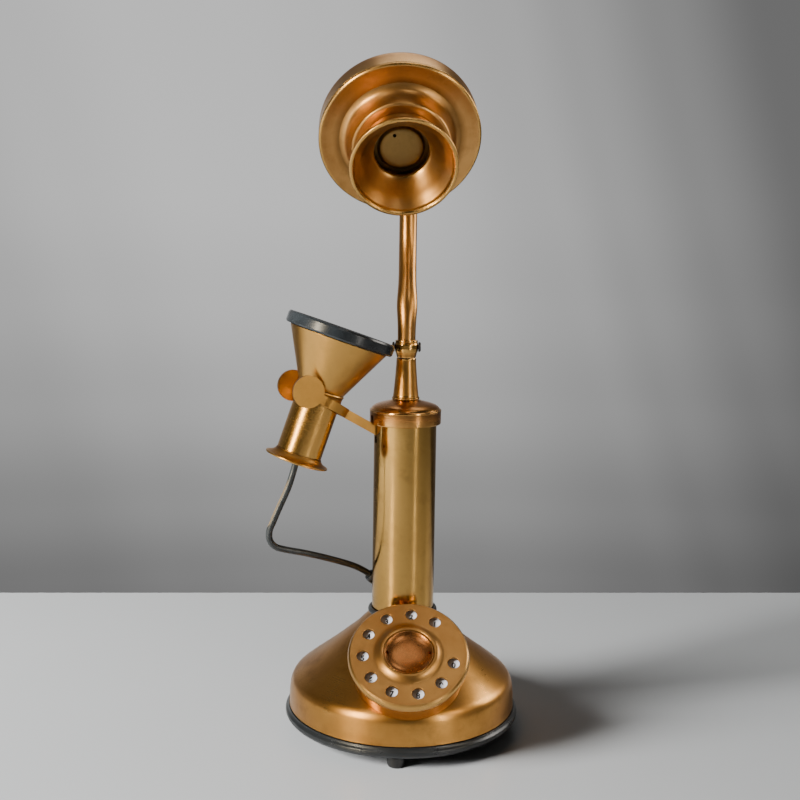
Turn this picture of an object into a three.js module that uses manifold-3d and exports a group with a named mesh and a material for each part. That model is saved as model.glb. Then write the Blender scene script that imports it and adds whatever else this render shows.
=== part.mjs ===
// A brass candlestick telephone with a rotary dial, in millimetres, +Z up, front towards -Y.
// The stand carries the dial, the hook and the arm; the receiver hangs on the hook by its neck.
// Lengths below are measured from the stand's own upright axis and from a level 2.4 mm above the
// table; the whole group is then shifted so that the part's origin is the middle of its footprint
// on the table.
import * as THREE from 'three';
import { mergeVertices } from 'three/addons/utils/BufferGeometryUtils.js';
import Module from 'manifold-3d';

const wasm = await Module();
wasm.setup();

// ---------------------------------------------------------------- driving dimensions
const GAP = 0.3; // clearance kept between neighbouring pieces
const SEGMENTS = 24; // facets round a large turned piece
const FEW = 12; // facets round a small turned piece

const FOOTPRINT_SHIFT_X = 4.7; // puts the origin in the middle of the footprint
const FOOTPRINT_SHIFT_Y = 4.2;

const TABLE = -2.4; // the table, on the level that heights are measured from
const FOOT_CIRCLE_R = 62;
const FOOT_TURN = -2.5; // degrees the four feet stand round from the front
const RING_R = 69.5; // the black ring, the widest part of the base
const RING_BOTTOM = 3.8;
const RING_TOP = 10;
const SKIRT_R = 67;
const SKIRT_BOTTOM = 10.3;
const SHELL_WALL = 1.4;
const DOME_TOP = 65; // where the column stands on the base

const COLUMN_R = 18.3;
const COLUMN_WALL = 1.4;
const COLUMN_TOP = 185.3;
const CAP_R = 20.8;
const CAP_BOTTOM = 179;
const CAP_TOP = 193;
const NECK_TOP = 217.3;
const COLLAR_R = 6.8;
const COLLAR_TOP = 227.5;

const ROD_R = 5.2;
const TILT_PIVOT = [0, 6, 345]; // where the transmitter tilts on the arm
const HEAD_YAW = 5.2; // degrees the transmitter looks to the right
const HEAD_DROP = 34.5; // degrees its axis points below the horizontal
const HEAD_OFFSET = [-8, 11.9, 29.4]; // face centre from the pivot: right, up the face, forward
const DRUM_R = 44.4;
const DRUM_DEPTH = 16.6;
const HUB_DEPTH = 10.2;
const MOUTH_R = 28.6;
const MOUTH_DEPTH = 29.8;
const THROAT_R = 14.9;

const DIAL_AT = [3.5, -52, 58.3]; // centre of the finger wheel's face
const DIAL_ELEVATION = 53; // degrees its axis points above the horizontal
const WHEEL_R = 33.8;
const HOLE_R = 3.3;
const HOLE_CIRCLE_R = 25.5;
const FIRST_HOLE = 54.5; // degrees, anticlockwise from the right, of the hole for 1
const HOLE_STEP = 32.5;
const DIAL_DEPTH = 14;

const HOOK_PIVOT = [0, 0, 165.1];
const HOOK_YAW = 201.3; // degrees, the way the hook points from the column
const HOOK_RISE = 29.6; // degrees it slopes up
const FORK_AT = 58.9; // along the hook, from its pivot to the receiver's axis
const FORK_R = 15.6; // middle of the fork's bend
const PRONG_END = 73.2;
const PRONG_DISC_R = 9;
const STRIP_WIDTH = 2;
const STRIP_HEIGHT = 5.2;

const RECEIVER_FOOT = [-61.6, -22, 160]; // centre of its bottom flange
const RECEIVER_TOP = [-36.2, -16.2, 235.3]; // centre of its ear cap's face
const BARREL_R = 13;
const FLANGE_R = 18.3;
const EAR_R = 31.6;

const CORD_R = 1.9;
const CORD_SIDES = 8;
const CORD_STEPS = 30;
// Middle of the cord, from the receiver's bush down, round and into the column's ferrule.
const CORD_ROUTE = [
  [-62.2, -22.4, 157.8], [-63.4, -22.9, 153.2], [-66.1, -24.5, 144.4], [-71, -26, 133.1],
  [-74.3, -27, 125.2], [-76.3, -27.3, 120], [-76.2, -27, 114.7], [-73.3, -25.8, 110.6],
  [-67.9, -23.5, 108.3], [-56.8, -18.5, 105], [-45.7, -12, 100.7], [-35.2, -4, 95.6],
  [-28.4, 2.6, 91.4], [-22.4, 7.8, 86.8], [-19.7, 9.1, 84.2], [-16.9, 10.4, 81.6],
  [-15.2, 11.2, 80],
];
const FERRULE_AT = [-16.9, 10.4, 81.6];
const FERRULE_ALONG = [0.69, 0.33, -0.645];

const GEAR_MODULE = 1.05;
const GEAR_TEETH = 36;
const PINION_TEETH = 9;

// ---------------------------------------------------------------- materials
function material(color, roughness, metalness) {
  return new THREE.MeshStandardMaterial({ color, roughness, metalness });
}
const brass = material(0xb07a3c, 0.32, 1);
const columnBrass = material(0x9a7a3e, 0.42, 1);
const copperyBrass = material(0xb87848, 0.34, 1);
const steel = material(0x8a8a88, 0.35, 1);
const darkSteel = material(0x2c2a28, 0.45, 1);
const iron = material(0x3a3a3c, 0.7, 0.6);
const blackRubber = material(0x161718, 0.7, 0);
const blackPlastic = material(0x202326, 0.4, 0);
const bakelite = material(0x2a1a12, 0.4, 0);
const enamel = material(0xe8e8e2, 0.3, 0);
const copper = material(0xb0603a, 0.35, 1);
const carbon = material(0x2a2a2a, 0.8, 0);

// ---------------------------------------------------------------- geometry helpers
const radians = THREE.MathUtils.degToRad;
const point = (r, z) => new THREE.Vector2(r, z);
const vector = ([x, y, z]) => new THREE.Vector3(x, y, z);

// Merged triangles with the collapsed ones dropped, all facing out.
function closed(geometry) {
  const bare = geometry.index ? geometry.toNonIndexed() : geometry.clone();
  bare.deleteAttribute('normal');
  bare.deleteAttribute('uv');
  const merged = mergeVertices(bare, 1e-3);
  const positions = merged.attributes.position;
  const faces = [];
  let volume = 0;
  const [a, b, c] = [new THREE.Vector3(), new THREE.Vector3(), new THREE.Vector3()];
  for (let i = 0; i < merged.index.count; i += 3) {
    const [p, q, r] = [0, 1, 2].map((k) => merged.index.getX(i + k));
    if (p === q || q === r || r === p) continue;
    faces.push(p, q, r);
    a.fromBufferAttribute(positions, p);
    b.fromBufferAttribute(positions, q);
    c.fromBufferAttribute(positions, r);
    volume += a.dot(b.cross(c));
  }
  if (volume < 0) faces.reverse();
  merged.setIndex(faces);
  return merged;
}

function toSolid(geometry) {
  const mesh = closed(geometry);
  return new wasm.Manifold(new wasm.Mesh({
    numProp: 3,
    vertProperties: new Float32Array(mesh.attributes.position.array),
    triVerts: new Uint32Array(mesh.index.array),
  }));
}

function fromSolid(solid) {
  const mesh = solid.getMesh();
  const geometry = new THREE.BufferGeometry();
  geometry.setAttribute('position', new THREE.BufferAttribute(mesh.vertProperties, 3));
  geometry.setIndex(new THREE.BufferAttribute(mesh.triVerts, 1));
  return geometry;
}

function cut(geometry, ...tools) {
  return fromSolid(tools.reduce((rest, tool) => rest.subtract(toSolid(tool)), toSolid(geometry)));
}

function join(...geometries) {
  return fromSolid(geometries.map(toSolid).reduce((sum, next) => sum.add(next)));
}

// A solid of revolution about Z; the outline runs axis to axis or closes on itself.
function turned(outline, segments = SEGMENTS) {
  const last = outline[outline.length - 1];
  const openRing = outline[0].x > 0 || last.x > 0;
  const profile = openRing ? [...outline, outline[0]] : outline;
  return closed(new THREE.LatheGeometry(profile, segments).rotateX(Math.PI / 2));
}

function arc(r, z, radius, from, to, steps) {
  return Array.from({ length: steps + 1 }, (_, i) => {
    const angle = radians(from + ((to - from) * i) / steps);
    return point(r + radius * Math.cos(angle), z + radius * Math.sin(angle));
  });
}

// The outline of a sheet of even thickness whose outer face follows the given points.
function sheet(outer, thickness) {
  const inner = outer.map((p, i) => {
    const before = outer[Math.max(i - 1, 0)];
    const after = outer[Math.min(i + 1, outer.length - 1)];
    const along = after.clone().sub(before).normalize();
    return point(p.x - along.y * thickness, p.y + along.x * thickness);
  });
  return [...outer, ...inner.reverse()];
}

function disc(r, bottom, top, segments = FEW) {
  return turned([point(0, bottom), point(r, bottom), point(r, top), point(0, top)], segments);
}

function ring(inner, outer, bottom, top, segments = SEGMENTS) {
  const outline = [point(inner, bottom), point(outer, bottom), point(outer, top), point(inner, top)];
  return turned(outline, segments);
}

function box(sizeX, sizeY, sizeZ, x = 0, y = 0, z = 0) {
  return closed(new THREE.BoxGeometry(sizeX, sizeY, sizeZ).translate(x, y, z));
}

// A round bar from one point to another.
function bar(from, to, r, segments = FEW) {
  const [start, end] = [vector(from), vector(to)];
  const along = end.clone().sub(start);
  const turn = new THREE.Quaternion().setFromUnitVectors(
    new THREE.Vector3(0, 0, 1), along.clone().normalize());
  return disc(r, 0, along.length(), segments).applyQuaternion(turn).translate(...start.toArray());
}

function hexNut(across, hole, bottom, top) {
  return cut(disc(across / 2, bottom, top, 6), disc(hole, bottom - 1, top + 1));
}

function tube(route, r, sides, steps) {
  const section = new THREE.Shape();
  for (let i = 0; i < sides; i += 1) {
    const angle = (2 * Math.PI * i) / sides;
    const [x, y] = [r * Math.cos(angle), r * Math.sin(angle)];
    if (i) section.lineTo(x, y);
    else section.moveTo(x, y);
  }
  const extrudePath = new THREE.CatmullRomCurve3(route.map(vector), false, 'centripetal');
  return closed(new THREE.ExtrudeGeometry(section, { steps, extrudePath, curveSegments: 1 }));
}

// A spur gear about Z with straight-flanked teeth, one of them centred on +X.
function gear(teeth, bore, bottom, top) {
  const pitchR = (GEAR_MODULE * teeth) / 2;
  const step = (2 * Math.PI) / teeth;
  const tipR = pitchR + 0.7 * GEAR_MODULE;
  const rootR = pitchR - 1.1 * GEAR_MODULE;
  const corners = [[rootR, -0.29], [tipR, -0.11], [tipR, 0.11], [rootR, 0.29]];
  const outline = new THREE.Shape();
  for (let i = 0; i < teeth; i += 1) {
    for (const [r, share] of corners) {
      const angle = (i + share) * step;
      const [x, y] = [r * Math.cos(angle), r * Math.sin(angle)];
      if (outline.curves.length || outline.currentPoint.x) outline.lineTo(x, y);
      else outline.moveTo(x, y);
    }
  }
  const hole = new THREE.Path().absarc(0, 0, bore, 0, 2 * Math.PI, true);
  if (bore) outline.holes.push(hole);
  const settings = { depth: top - bottom, bevelEnabled: false, curveSegments: 8 };
  return closed(new THREE.ExtrudeGeometry(outline, settings).translate(0, 0, bottom));
}

// ---------------------------------------------------------------- scene graph
const phone = new THREE.Group();
phone.position.set(FOOTPRINT_SHIFT_X, FOOTPRINT_SHIFT_Y, -TABLE);

function node(group, name, geometry, look) {
  const mesh = new THREE.Mesh(geometry, look);
  mesh.name = name;
  group.add(mesh);
  return mesh;
}

function placed(parent, position, ...rotations) {
  let group = new THREE.Group();
  group.position.set(...position);
  parent.add(group);
  for (const [axis, degrees] of rotations) {
    const inner = new THREE.Group();
    inner.rotation[axis] = radians(degrees);
    group.add(inner);
    group = inner;
  }
  return group;
}

// ---------------------------------------------------------------- base
const DIAL_TILT = 90 - DIAL_ELEVATION;
const DIAL_STUD_R = 4;
const SCREW_CIRCLE_R = 46;
const SCREW_R = 1.7;
const PLATE_THICK = 1.2;
const BALLAST_TOP = 21;

// A tool placed as the dial is, for the holes that the dial needs in the base.
function asDial(geometry) {
  return geometry.rotateX(radians(DIAL_TILT)).translate(...DIAL_AT);
}

const DOME_OUTLINE = [
  point(SKIRT_R, SKIRT_BOTTOM), point(66.5, 21), point(65, 26.8), point(61.5, 30),
  point(56, 34.6), point(42, 45), point(28, 56.5), point(22.6, 61.8), point(19.6, DOME_TOP),
];

// Everything that the dial's cup must keep clear of: the dome, and the column's foot above it.
function domeClearance() {
  const outer = DOME_OUTLINE.map((p) => point(p.x + 0.2, p.y + GAP));
  const foot = [point(COLUMN_R + 3, DOME_TOP + GAP), point(COLUMN_R + 3, 80), point(0, 80)];
  return turned([point(0, SKIRT_BOTTOM), ...outer.slice(0, -1), ...foot]);
}

function baseShell() {
  const outer = DOME_OUTLINE;
  const lowered = sheet(outer, SHELL_WALL);
  const innerTop = lowered[outer.length];
  const seat = [point(COLUMN_R - 1, DOME_TOP), point(COLUMN_R - 1, innerTop.y - 0.6)];
  const outline = [...outer, ...seat, ...lowered.slice(outer.length)];
  const studHole = asDial(disc(DIAL_STUD_R + GAP, -40, 0));
  return cut(turned(outline), studHole);
}

function baseRing() {
  const outline = [
    point(60.5, RING_BOTTOM), point(66.5, RING_BOTTOM),
    ...arc(RING_R - 2.6, 6.7, 2.6, -60, 55, 2),
    point(67.4, RING_TOP), point(60.5, RING_TOP),
  ];
  return turned(outline);
}

function foot() {
  const outline = [
    point(0, TABLE), point(4.2, TABLE), point(4.8, TABLE + 0.6), point(5, RING_BOTTOM - GAP),
    point(0, RING_BOTTOM - GAP),
  ];
  return turned(outline, 16);
}

function onCircle(r, degrees, z = 0) {
  return [r * Math.cos(radians(degrees)), r * Math.sin(radians(degrees)), z];
}

const SCREW_ANGLES = [30, 150, 270];

function buildBase() {
  const footNames = ['foot_front', 'foot_right', 'foot_back', 'foot_left'];
  footNames.forEach((name, i) => {
    const at = onCircle(FOOT_CIRCLE_R, -90 + 90 * i + FOOT_TURN);
    node(placed(phone, at), name, foot(), blackRubber);
  });
  node(phone, 'base_ring', baseRing(), blackRubber);
  node(phone, 'base_shell', baseShell(), brass);

  const plateTop = SKIRT_BOTTOM + PLATE_THICK;
  const screwTool = (r) => SCREW_ANGLES.map((angle) =>
    disc(r, 0, BALLAST_TOP + 5).translate(...onCircle(SCREW_CIRCLE_R, angle)));
  const plate = cut(disc(65, SKIRT_BOTTOM, plateTop, SEGMENTS), ...screwTool(SCREW_R + GAP));
  node(phone, 'base_plate', plate, darkSteel);
  const ballast = ring(34, 59, plateTop + GAP, BALLAST_TOP);
  node(phone, 'ballast_ring', cut(ballast, ...screwTool(SCREW_R + GAP)), iron);
  SCREW_ANGLES.forEach((angle, i) => {
    const outline = [
      point(0, 7.7), point(3.4, 7.7), point(3.7, 8.7), point(3.7, SKIRT_BOTTOM - GAP),
      point(SCREW_R, SKIRT_BOTTOM - GAP), point(SCREW_R, BALLAST_TOP - 2),
      point(0, BALLAST_TOP - 2),
    ];
    const group = placed(phone, onCircle(SCREW_CIRCLE_R, angle));
    node(group, `base_screw_${i + 1}`, turned(outline, 8), steel);
  });

  const floor = plateTop + GAP;
  const block = join(
    box(34, 14, 5, 0, 16, floor + 2.5),
    ...[-12, -4, 4, 12].map((x) => disc(2.4, floor + 4, floor + 8, 10).translate(x, 16, 0)));
  node(phone, 'terminal_block', block, bakelite);
  const coil = join(
    bar([-13, -3, floor + 8.4], [13, -3, floor + 8.4], 6.4),
    bar([-15, -3, floor + 8.4], [-12.9, -3, floor + 8.4], 8.2),
    bar([12.9, -3, floor + 8.4], [15, -3, floor + 8.4], 8.2));
  node(phone, 'induction_coil', coil, copper);
}

// ---------------------------------------------------------------- column
const COLUMN_INNER_R = COLUMN_R - COLUMN_WALL;
const SLOT_WIDTH = STRIP_WIDTH + 1.4;
const SHELF_Z = 148;

// The upright slot through which the hook leaves the column, pointing the hook's way.
function hookSlot(bottom, top) {
  const middle = (bottom + top) / 2;
  const slot = box(14, SLOT_WIDTH, top - bottom, 20, 0, middle);
  return slot.rotateZ(radians(HOOK_YAW));
}

function ferruleTool(r, behind, ahead) {
  const [middle, along] = [vector(FERRULE_AT), vector(FERRULE_ALONG).normalize()];
  const end = (distance) => middle.clone().addScaledVector(along, distance).toArray();
  return bar(end(-behind), end(ahead), r, 8);
}

function columnTube() {
  const column = ring(COLUMN_INNER_R, COLUMN_R, DOME_TOP + GAP, COLUMN_TOP);
  return cut(column, hookSlot(168, COLUMN_TOP + 1), ferruleTool(3.5, 12, 8));
}

function columnCap() {
  const outline = [
    point(COLUMN_R + GAP + 0.1, CAP_BOTTOM), point(CAP_R, CAP_BOTTOM), point(CAP_R, 186.6),
    point(20, 187.8), point(12.5, 190.8), point(4.8, CAP_TOP), point(4.8, 191.2),
    point(15.5, 187.8), point(COLUMN_R + GAP + 0.1, 185.9),
  ];
  return cut(turned(outline), hookSlot(CAP_BOTTOM - 1, 184.4));
}

function neck() {
  const outline = [
    point(0, 184.5), point(4.2, 184.5), point(4.2, CAP_TOP + GAP), point(7.8, CAP_TOP + GAP),
    point(7.3, 194.9), point(6.2, 208), point(5.5, NECK_TOP), point(0, NECK_TOP),
  ];
  return turned(outline, 20);
}

const COLLAR_FLOOR = 220;
const COLLAR_BORE_R = ROD_R + GAP;
const CLAMP_Z = 223.6;

function armCollar() {
  const outline = [
    point(0, NECK_TOP + GAP), point(5.5, NECK_TOP + GAP), point(6.3, 219),
    point(COLLAR_R, 221.2), point(COLLAR_R, COLLAR_TOP - 0.6), point(COLLAR_R - 0.4, COLLAR_TOP),
    point(COLLAR_BORE_R, COLLAR_TOP), point(COLLAR_BORE_R, COLLAR_FLOOR), point(0, COLLAR_FLOOR),
  ];
  const screwHoles = bar([-9, 0, CLAMP_Z], [9, 0, CLAMP_Z], 1.6, 10);
  return cut(turned(outline, 20), screwHoles);
}

function collarScrew() {
  const outline = [
    point(0, COLLAR_BORE_R + 0.1), point(1.2, COLLAR_BORE_R + 0.1), point(1.2, COLLAR_R + 0.1),
    point(2.8, COLLAR_R + 0.1), point(2.8, COLLAR_R + 1.2), point(2.4, COLLAR_R + 1.5),
    point(0, COLLAR_R + 1.5),
  ];
  return turned(outline, 12).rotateY(Math.PI / 2).translate(0, 0, CLAMP_Z);
}

function buildColumn() {
  const gasket = [
    point(COLUMN_R + GAP, DOME_TOP + GAP), ...arc(COLUMN_R + 0.7, 66.9, 1.6, -70, 70, 2),
    point(COLUMN_R + GAP, 68.5),
  ];
  node(phone, 'column_gasket', turned(gasket), blackRubber);
  node(phone, 'column_tube', columnTube(), columnBrass);
  const sleeve = [
    point(12.5, 56.5), point(21, 56.5), point(21, 59.6), point(16.5, 60.4), point(16.5, 78),
    point(12.5, 78),
  ];
  const sleeveHole = ferruleTool(3.5, 12, 14);
  node(phone, 'column_nut', cut(turned(sleeve), sleeveHole), steel);
  node(phone, 'column_cap', columnCap(), copperyBrass);
  node(phone, 'neck', neck(), brass);
  node(phone, 'neck_nut', hexNut(13, 4.6, 184.6, 188.4), steel);
  node(phone, 'arm_collar', armCollar(), brass);
  node(phone, 'collar_screw_right', collarScrew(), darkSteel);
  node(placed(phone, [0, 0, 0], ['z', 180]), 'collar_screw_left', collarScrew(), darkSteel);

  const ferrule = cut(
    join(ferruleTool(3.1, 5.5, 5), ferruleTool(4, 5.5, 3.4)),
    ferruleTool(CORD_R + 0.45, 8, 9));
  const outsideOnly = ring(0.01 + COLUMN_R + GAP, 40, 60, 100);
  const head = toSolid(ferrule).intersect(toSolid(outsideOnly));
  const stem = toSolid(cut(ferruleTool(3.1, 5.5, 1.5), ferruleTool(CORD_R + 0.45, 8, 9)));
  node(phone, 'cord_ferrule', fromSolid(head.add(stem)), blackRubber);
}

// ---------------------------------------------------------------- hook and its switch
const hook = placed(phone, HOOK_PIVOT, ['z', HOOK_YAW], ['y', -HOOK_RISE]);
const hookLevel = placed(phone, HOOK_PIVOT, ['z', HOOK_YAW]);
const PIN_R = 1.5;
const CHEEK_AT = 6;

function hookLever() {
  const bend = cut(
    ring(FORK_R - STRIP_WIDTH / 2, FORK_R + STRIP_WIDTH / 2, -STRIP_HEIGHT / 2, STRIP_HEIGHT / 2, 40),
    box(40, 60, 20, 20, 0, 0)).translate(FORK_AT, 0, 0);
  const prongLength = PRONG_END - FORK_AT;
  const prongs = [-1, 1].flatMap((side) => {
    const y = side * FORK_R;
    const half = STRIP_WIDTH / 2;
    return [
      box(prongLength + 0.2, STRIP_WIDTH, STRIP_HEIGHT, FORK_AT + prongLength / 2 - 0.1, y, 0),
      bar([PRONG_END, y - half, 0], [PRONG_END, y + half, 0], PRONG_DISC_R, 20),
    ];
  });
  const stemEnd = FORK_AT - FORK_R;
  const tail = 9;
  const stem = box(stemEnd + tail, STRIP_WIDTH, STRIP_HEIGHT, (stemEnd - tail) / 2, 0, 0);
  const boss = bar([0, -2.6, 0], [0, 2.6, 0], 4);
  const pinHole = bar([0, -9, 0], [0, 9, 0], PIN_R + GAP, 12);
  return cut(join(bend, ...prongs, stem, boss), pinHole);
}

function hookBracket() {
  const down = SHELF_Z - HOOK_PIVOT[2];
  const shelf = cut(disc(COLUMN_INNER_R - GAP, down, down + 1.5, SEGMENTS),
    disc(3, down - 1, down + 3).translate(0, 11.5, 0));
  const cheeks = [-1, 1].map((side) => {
    const y = side * CHEEK_AT;
    return join(
      box(8, 1.4, -down + 0.2, 0, y, down / 2 + 0.1),
      bar([0, y - 0.7, 0], [0, y + 0.7, 0], 4));
  });
  return cut(join(shelf, ...cheeks), bar([0, -9, 0], [0, 9, 0], PIN_R + GAP, 12));
}

function hookSpring() {
  const [turns, perTurn, coilR, wireR] = [4, 8, 2.5, 0.5];
  const [bottom, height] = [SHELF_Z + 1.5 + GAP + wireR - HOOK_PIVOT[2], 12.6];
  const route = Array.from({ length: turns * perTurn + 1 }, (_, i) => {
    const [x, y] = onCircle(coilR, (360 * i) / perTurn);
    return [x, y, bottom + (height * i) / (turns * perTurn)];
  });
  return tube(route, wireR, 4, turns * perTurn);
}

function switchContacts() {
  const floor = SHELF_Z + 1.5 + GAP - HOOK_PIVOT[2];
  const block = box(4.4, 8, 6, -13.4, 0, floor + 3);
  const blades = [0, 2.2].map((rise) => box(9, 3.6, 0.5, -10, 0, floor + 4 + rise * 0.8));
  const tips = [bar([-6.4, 0, floor + 4.2], [-6.4, 0, floor + 5], 0.8, 8)];
  return join(block, ...blades, ...tips);
}

function buildHook() {
  node(hook, 'hook_lever', hookLever(), brass);
  node(hookLevel, 'hook_bracket', hookBracket(), steel);
  const pin = bar([0, -CHEEK_AT - 2.4, 0], [0, CHEEK_AT + 2.4, 0], PIN_R, 12);
  node(hookLevel, 'hook_pivot_pin', pin, darkSteel);
  node(placed(hookLevel, [8.5, 0, 0]), 'hook_spring', hookSpring(), steel);
  node(hookLevel, 'switch_contacts', switchContacts(), copper);
}

// ---------------------------------------------------------------- arm
function armRod() {
  const route = [
    [0, 0, COLLAR_FLOOR + GAP], [0, 0, 230], [0, 0.2, 240], [0, 2.4, 249], [0, 7.5, 259],
    [0, 13.6, 270], [0, 18.4, 282], [0, 20.6, 296], [0, 20.8, 312], [0, 18.4, 327],
    [0, 13, 338], [0, 8, 344],
  ];
  const [px, py, pz] = TILT_PIVOT;
  const flats = [-1, 1].map((side) => box(10, 16, 16, px + side * (2.2 + 5), py - 2, pz + 1));
  const eye = bar([px - 2.2, py, pz], [px + 2.2, py, pz], 5.2, 20);
  const hole = bar([px - 9, py, pz], [px + 9, py, pz], 1.9, 12);
  const rod = cut(tube(route, ROD_R, 10, 18), ...flats);
  const ready = join(rod, eye);
  return cut(ready, hole);
}

// ---------------------------------------------------------------- transmitter
const head = placed(phone, TILT_PIVOT, ['z', HEAD_YAW], ['x', 90 + HEAD_DROP]);
const drum = placed(head, HEAD_OFFSET);

function drumShell() {
  const outer = [
    point(0, -DRUM_DEPTH), point(40.8, -DRUM_DEPTH), point(43.1, -15.7), point(44.1, -13.5),
    point(44.3, -2.3),
  ];
  const inner = [
    point(43, -2.3), point(42.8, -13.5), point(42.2, -14.7), point(40.6, -15.3),
    point(0, -15.3),
  ];
  return turned([...outer, ...inner]);
}

function drumFace() {
  const outer = [
    point(DRUM_R, -1.4), point(DRUM_R - 0.9, 0.2), point(37, -0.8), point(32.4, -1),
    point(28.9, 2), point(27, 8), point(25.2, HUB_DEPTH), point(16.2, HUB_DEPTH),
  ];
  return turned(sheet(outer, 1.1));
}

function mouthpiece() {
  const outline = [
    point(THROAT_R, HUB_DEPTH + GAP), point(22, HUB_DEPTH + GAP), point(21.4, 13.6),
    point(22.6, 18), point(26.4, 26.4), point(MOUTH_R, 28.8), point(MOUTH_R - 0.6, MOUTH_DEPTH),
    point(27.2, MOUTH_DEPTH), point(24.6, 26), point(THROAT_R, 12.4),
  ];
  return turned(outline);
}

function mouthGrille() {
  const outline = [
    point(0, 4.4), point(15.6, 4.4), point(15.6, 6.8), point(12.6, 7.6), point(11, 9.4),
    point(6, 10), point(0, 10.2),
  ];
  return cut(turned(outline, 20), disc(1, 3, 12, 8).translate(-4.2, 8, 0));
}

function headLug() {
  const back = DRUM_DEPTH + GAP - HEAD_OFFSET[2];
  const foundation = box(14, 13, 2.2, 0, -1, -back - 1.1);
  const ears = [-1, 1].map((side) => {
    const x = side * 3.9;
    return join(
      box(2.4, 9, -back - 0.6, x, 0, (-back - 0.6) / 2),
      bar([x - 1.2, 0, 0], [x + 1.2, 0, 0], 4.5));
  });
  return cut(join(foundation, ...ears), bar([-9, 0, 0], [9, 0, 0], 1.9, 12));
}

function buildTransmitter() {
  node(drum, 'transmitter_shell', drumShell(), brass);
  node(drum, 'transmitter_face', drumFace(), brass);
  node(drum, 'mouthpiece', mouthpiece(), brass);
  node(drum, 'mouth_grille', mouthGrille(), columnBrass);
  node(drum, 'transmitter_diaphragm', disc(40.5, -4.2, -3.6, SEGMENTS), steel);
  node(drum, 'carbon_capsule', disc(12, -15.1, -4.2 - GAP), carbon);
  node(head, 'head_lug', headLug(), brass);
  const screw = [
    point(0, -7.6), point(1.5, -7.6), point(1.5, 5.4), point(3.2, 5.4), point(3.2, 6.8),
    point(2.6, 7.4), point(0, 7.4),
  ];
  node(head, 'tilt_screw', turned(screw, 12).rotateY(Math.PI / 2), darkSteel);
  const nut = hexNut(7.4, 1.85, -7.6, -5.4).rotateY(Math.PI / 2);
  node(head, 'tilt_nut', nut, darkSteel);
}

// ---------------------------------------------------------------- receiver
const receiver = placed(phone, RECEIVER_FOOT);
const receiverAxis = vector(RECEIVER_TOP).sub(vector(RECEIVER_FOOT));
const RECEIVER_LENGTH = receiverAxis.length();
receiver.quaternion.setFromUnitVectors(new THREE.Vector3(0, 0, 1), receiverAxis.normalize());
const BARREL_TOP = 36.7;
const CONE_BOTTOM = 42.9;
const CONE_TOP = RECEIVER_LENGTH - 7;

function earCap() {
  const top = RECEIVER_LENGTH;
  const outline = [
    point(28.9, CONE_TOP + GAP), point(EAR_R - 0.5, CONE_TOP + GAP), point(EAR_R, CONE_TOP + 1.2),
    point(EAR_R, top - 1.4), point(EAR_R - 1.4, top), point(26, top - 0.7), point(14, top - 3.2),
    point(5, top - 3.8), point(5, top - 5.2), point(14, top - 4.8), point(27.4, top - 3.2),
    point(28.9, top - 4),
  ];
  return turned(outline);
}

function buildReceiver() {
  const flange = [
    point(4.6, 0), point(FLANGE_R, 0), point(FLANGE_R, 1), point(15.6, 1.8), point(13.8, 3.2),
    point(13.1, 4.8), point(11, 4.8), point(11, 2), point(4.6, 2),
  ];
  node(receiver, 'receiver_flange', turned(flange, 20), brass);
  const barrel = ring(BARREL_R - 1.2, BARREL_R, 5.1, BARREL_TOP, 20);
  node(receiver, 'receiver_barrel', barrel, brass);
  const neckRing = [
    point(11.8, BARREL_TOP + GAP), point(13.8, BARREL_TOP + GAP), point(13.4, 38),
    point(13.4, 41.6), point(13.7, 42.6), point(11.8, 42.6),
  ];
  node(receiver, 'receiver_neck', turned(neckRing, 20), brass);
  const cone = [
    point(12.2, CONE_BOTTOM), point(13.3, CONE_BOTTOM), point(28.5, CONE_TOP),
    point(27.3, CONE_TOP),
  ];
  node(receiver, 'receiver_cone', turned(cone), brass);
  node(receiver, 'ear_cap', earCap(), blackPlastic);
  const seat = CONE_TOP - 2.2;
  node(receiver, 'receiver_diaphragm', disc(25.6, seat, seat + 0.5, SEGMENTS), steel);
  node(receiver, 'receiver_magnet', box(9, 5, 40, 0, 0, 30), darkSteel);
  node(receiver, 'receiver_coil', disc(7, 50.4, seat - 1.5), copper);
  const bush = [
    point(CORD_R + 0.45, -1.6), point(3.1, -1.6), point(3.6, -0.2), point(4.2, 0.4),
    point(4.2, 3), point(CORD_R + 0.45, 3),
  ];
  node(receiver, 'cord_bush', turned(bush, 16), blackRubber);
  node(phone, 'receiver_cord', tube(CORD_ROUTE, CORD_R, CORD_SIDES, CORD_STEPS), blackRubber);
}

// ---------------------------------------------------------------- dial
const dial = placed(phone, DIAL_AT, ['x', DIAL_TILT]);
const WHEEL_THICK = 1.2;
const WELL_FLOOR = -1.6; // bottom of the wheel's well, where the dished cap sits
const CUP_TOP = -5;
const SHAFT_R = 2.4;
const GEAR_BOTTOM = -8.6;
const GEAR_TOP = -7.2;
const PINION_DISTANCE = (GEAR_MODULE * (GEAR_TEETH + PINION_TEETH)) / 2;
const PINION_ANGLE = 200;
const FLOOR_TOP = -DIAL_DEPTH + 1.2;
const STUD_COLLAR_R = SHAFT_R + GAP + 2.2;

function fingerWheel() {
  const outline = [
    point(SHAFT_R + GAP, WELL_FLOOR - 1), point(15, WELL_FLOOR - 1), point(15.6, -WHEEL_THICK),
    point(31, -WHEEL_THICK), point(32.5, -2.4),
    point(32.5, -4.6), point(WHEEL_R, -4.6), point(WHEEL_R, -2.2), point(WHEEL_R - 0.8, -0.7),
    point(31.4, 0), point(18, 0), point(15.4, 1.7), point(14.3, 1.7), point(14, WELL_FLOOR),
    point(SHAFT_R + GAP, WELL_FLOOR),
  ];
  const holes = Array.from({ length: 10 }, (_, i) =>
    disc(HOLE_R, -9, 9, 12).translate(...onCircle(HOLE_CIRCLE_R, FIRST_HOLE + HOLE_STEP * i)));
  return cut(turned(outline, 30), ...holes);
}

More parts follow.
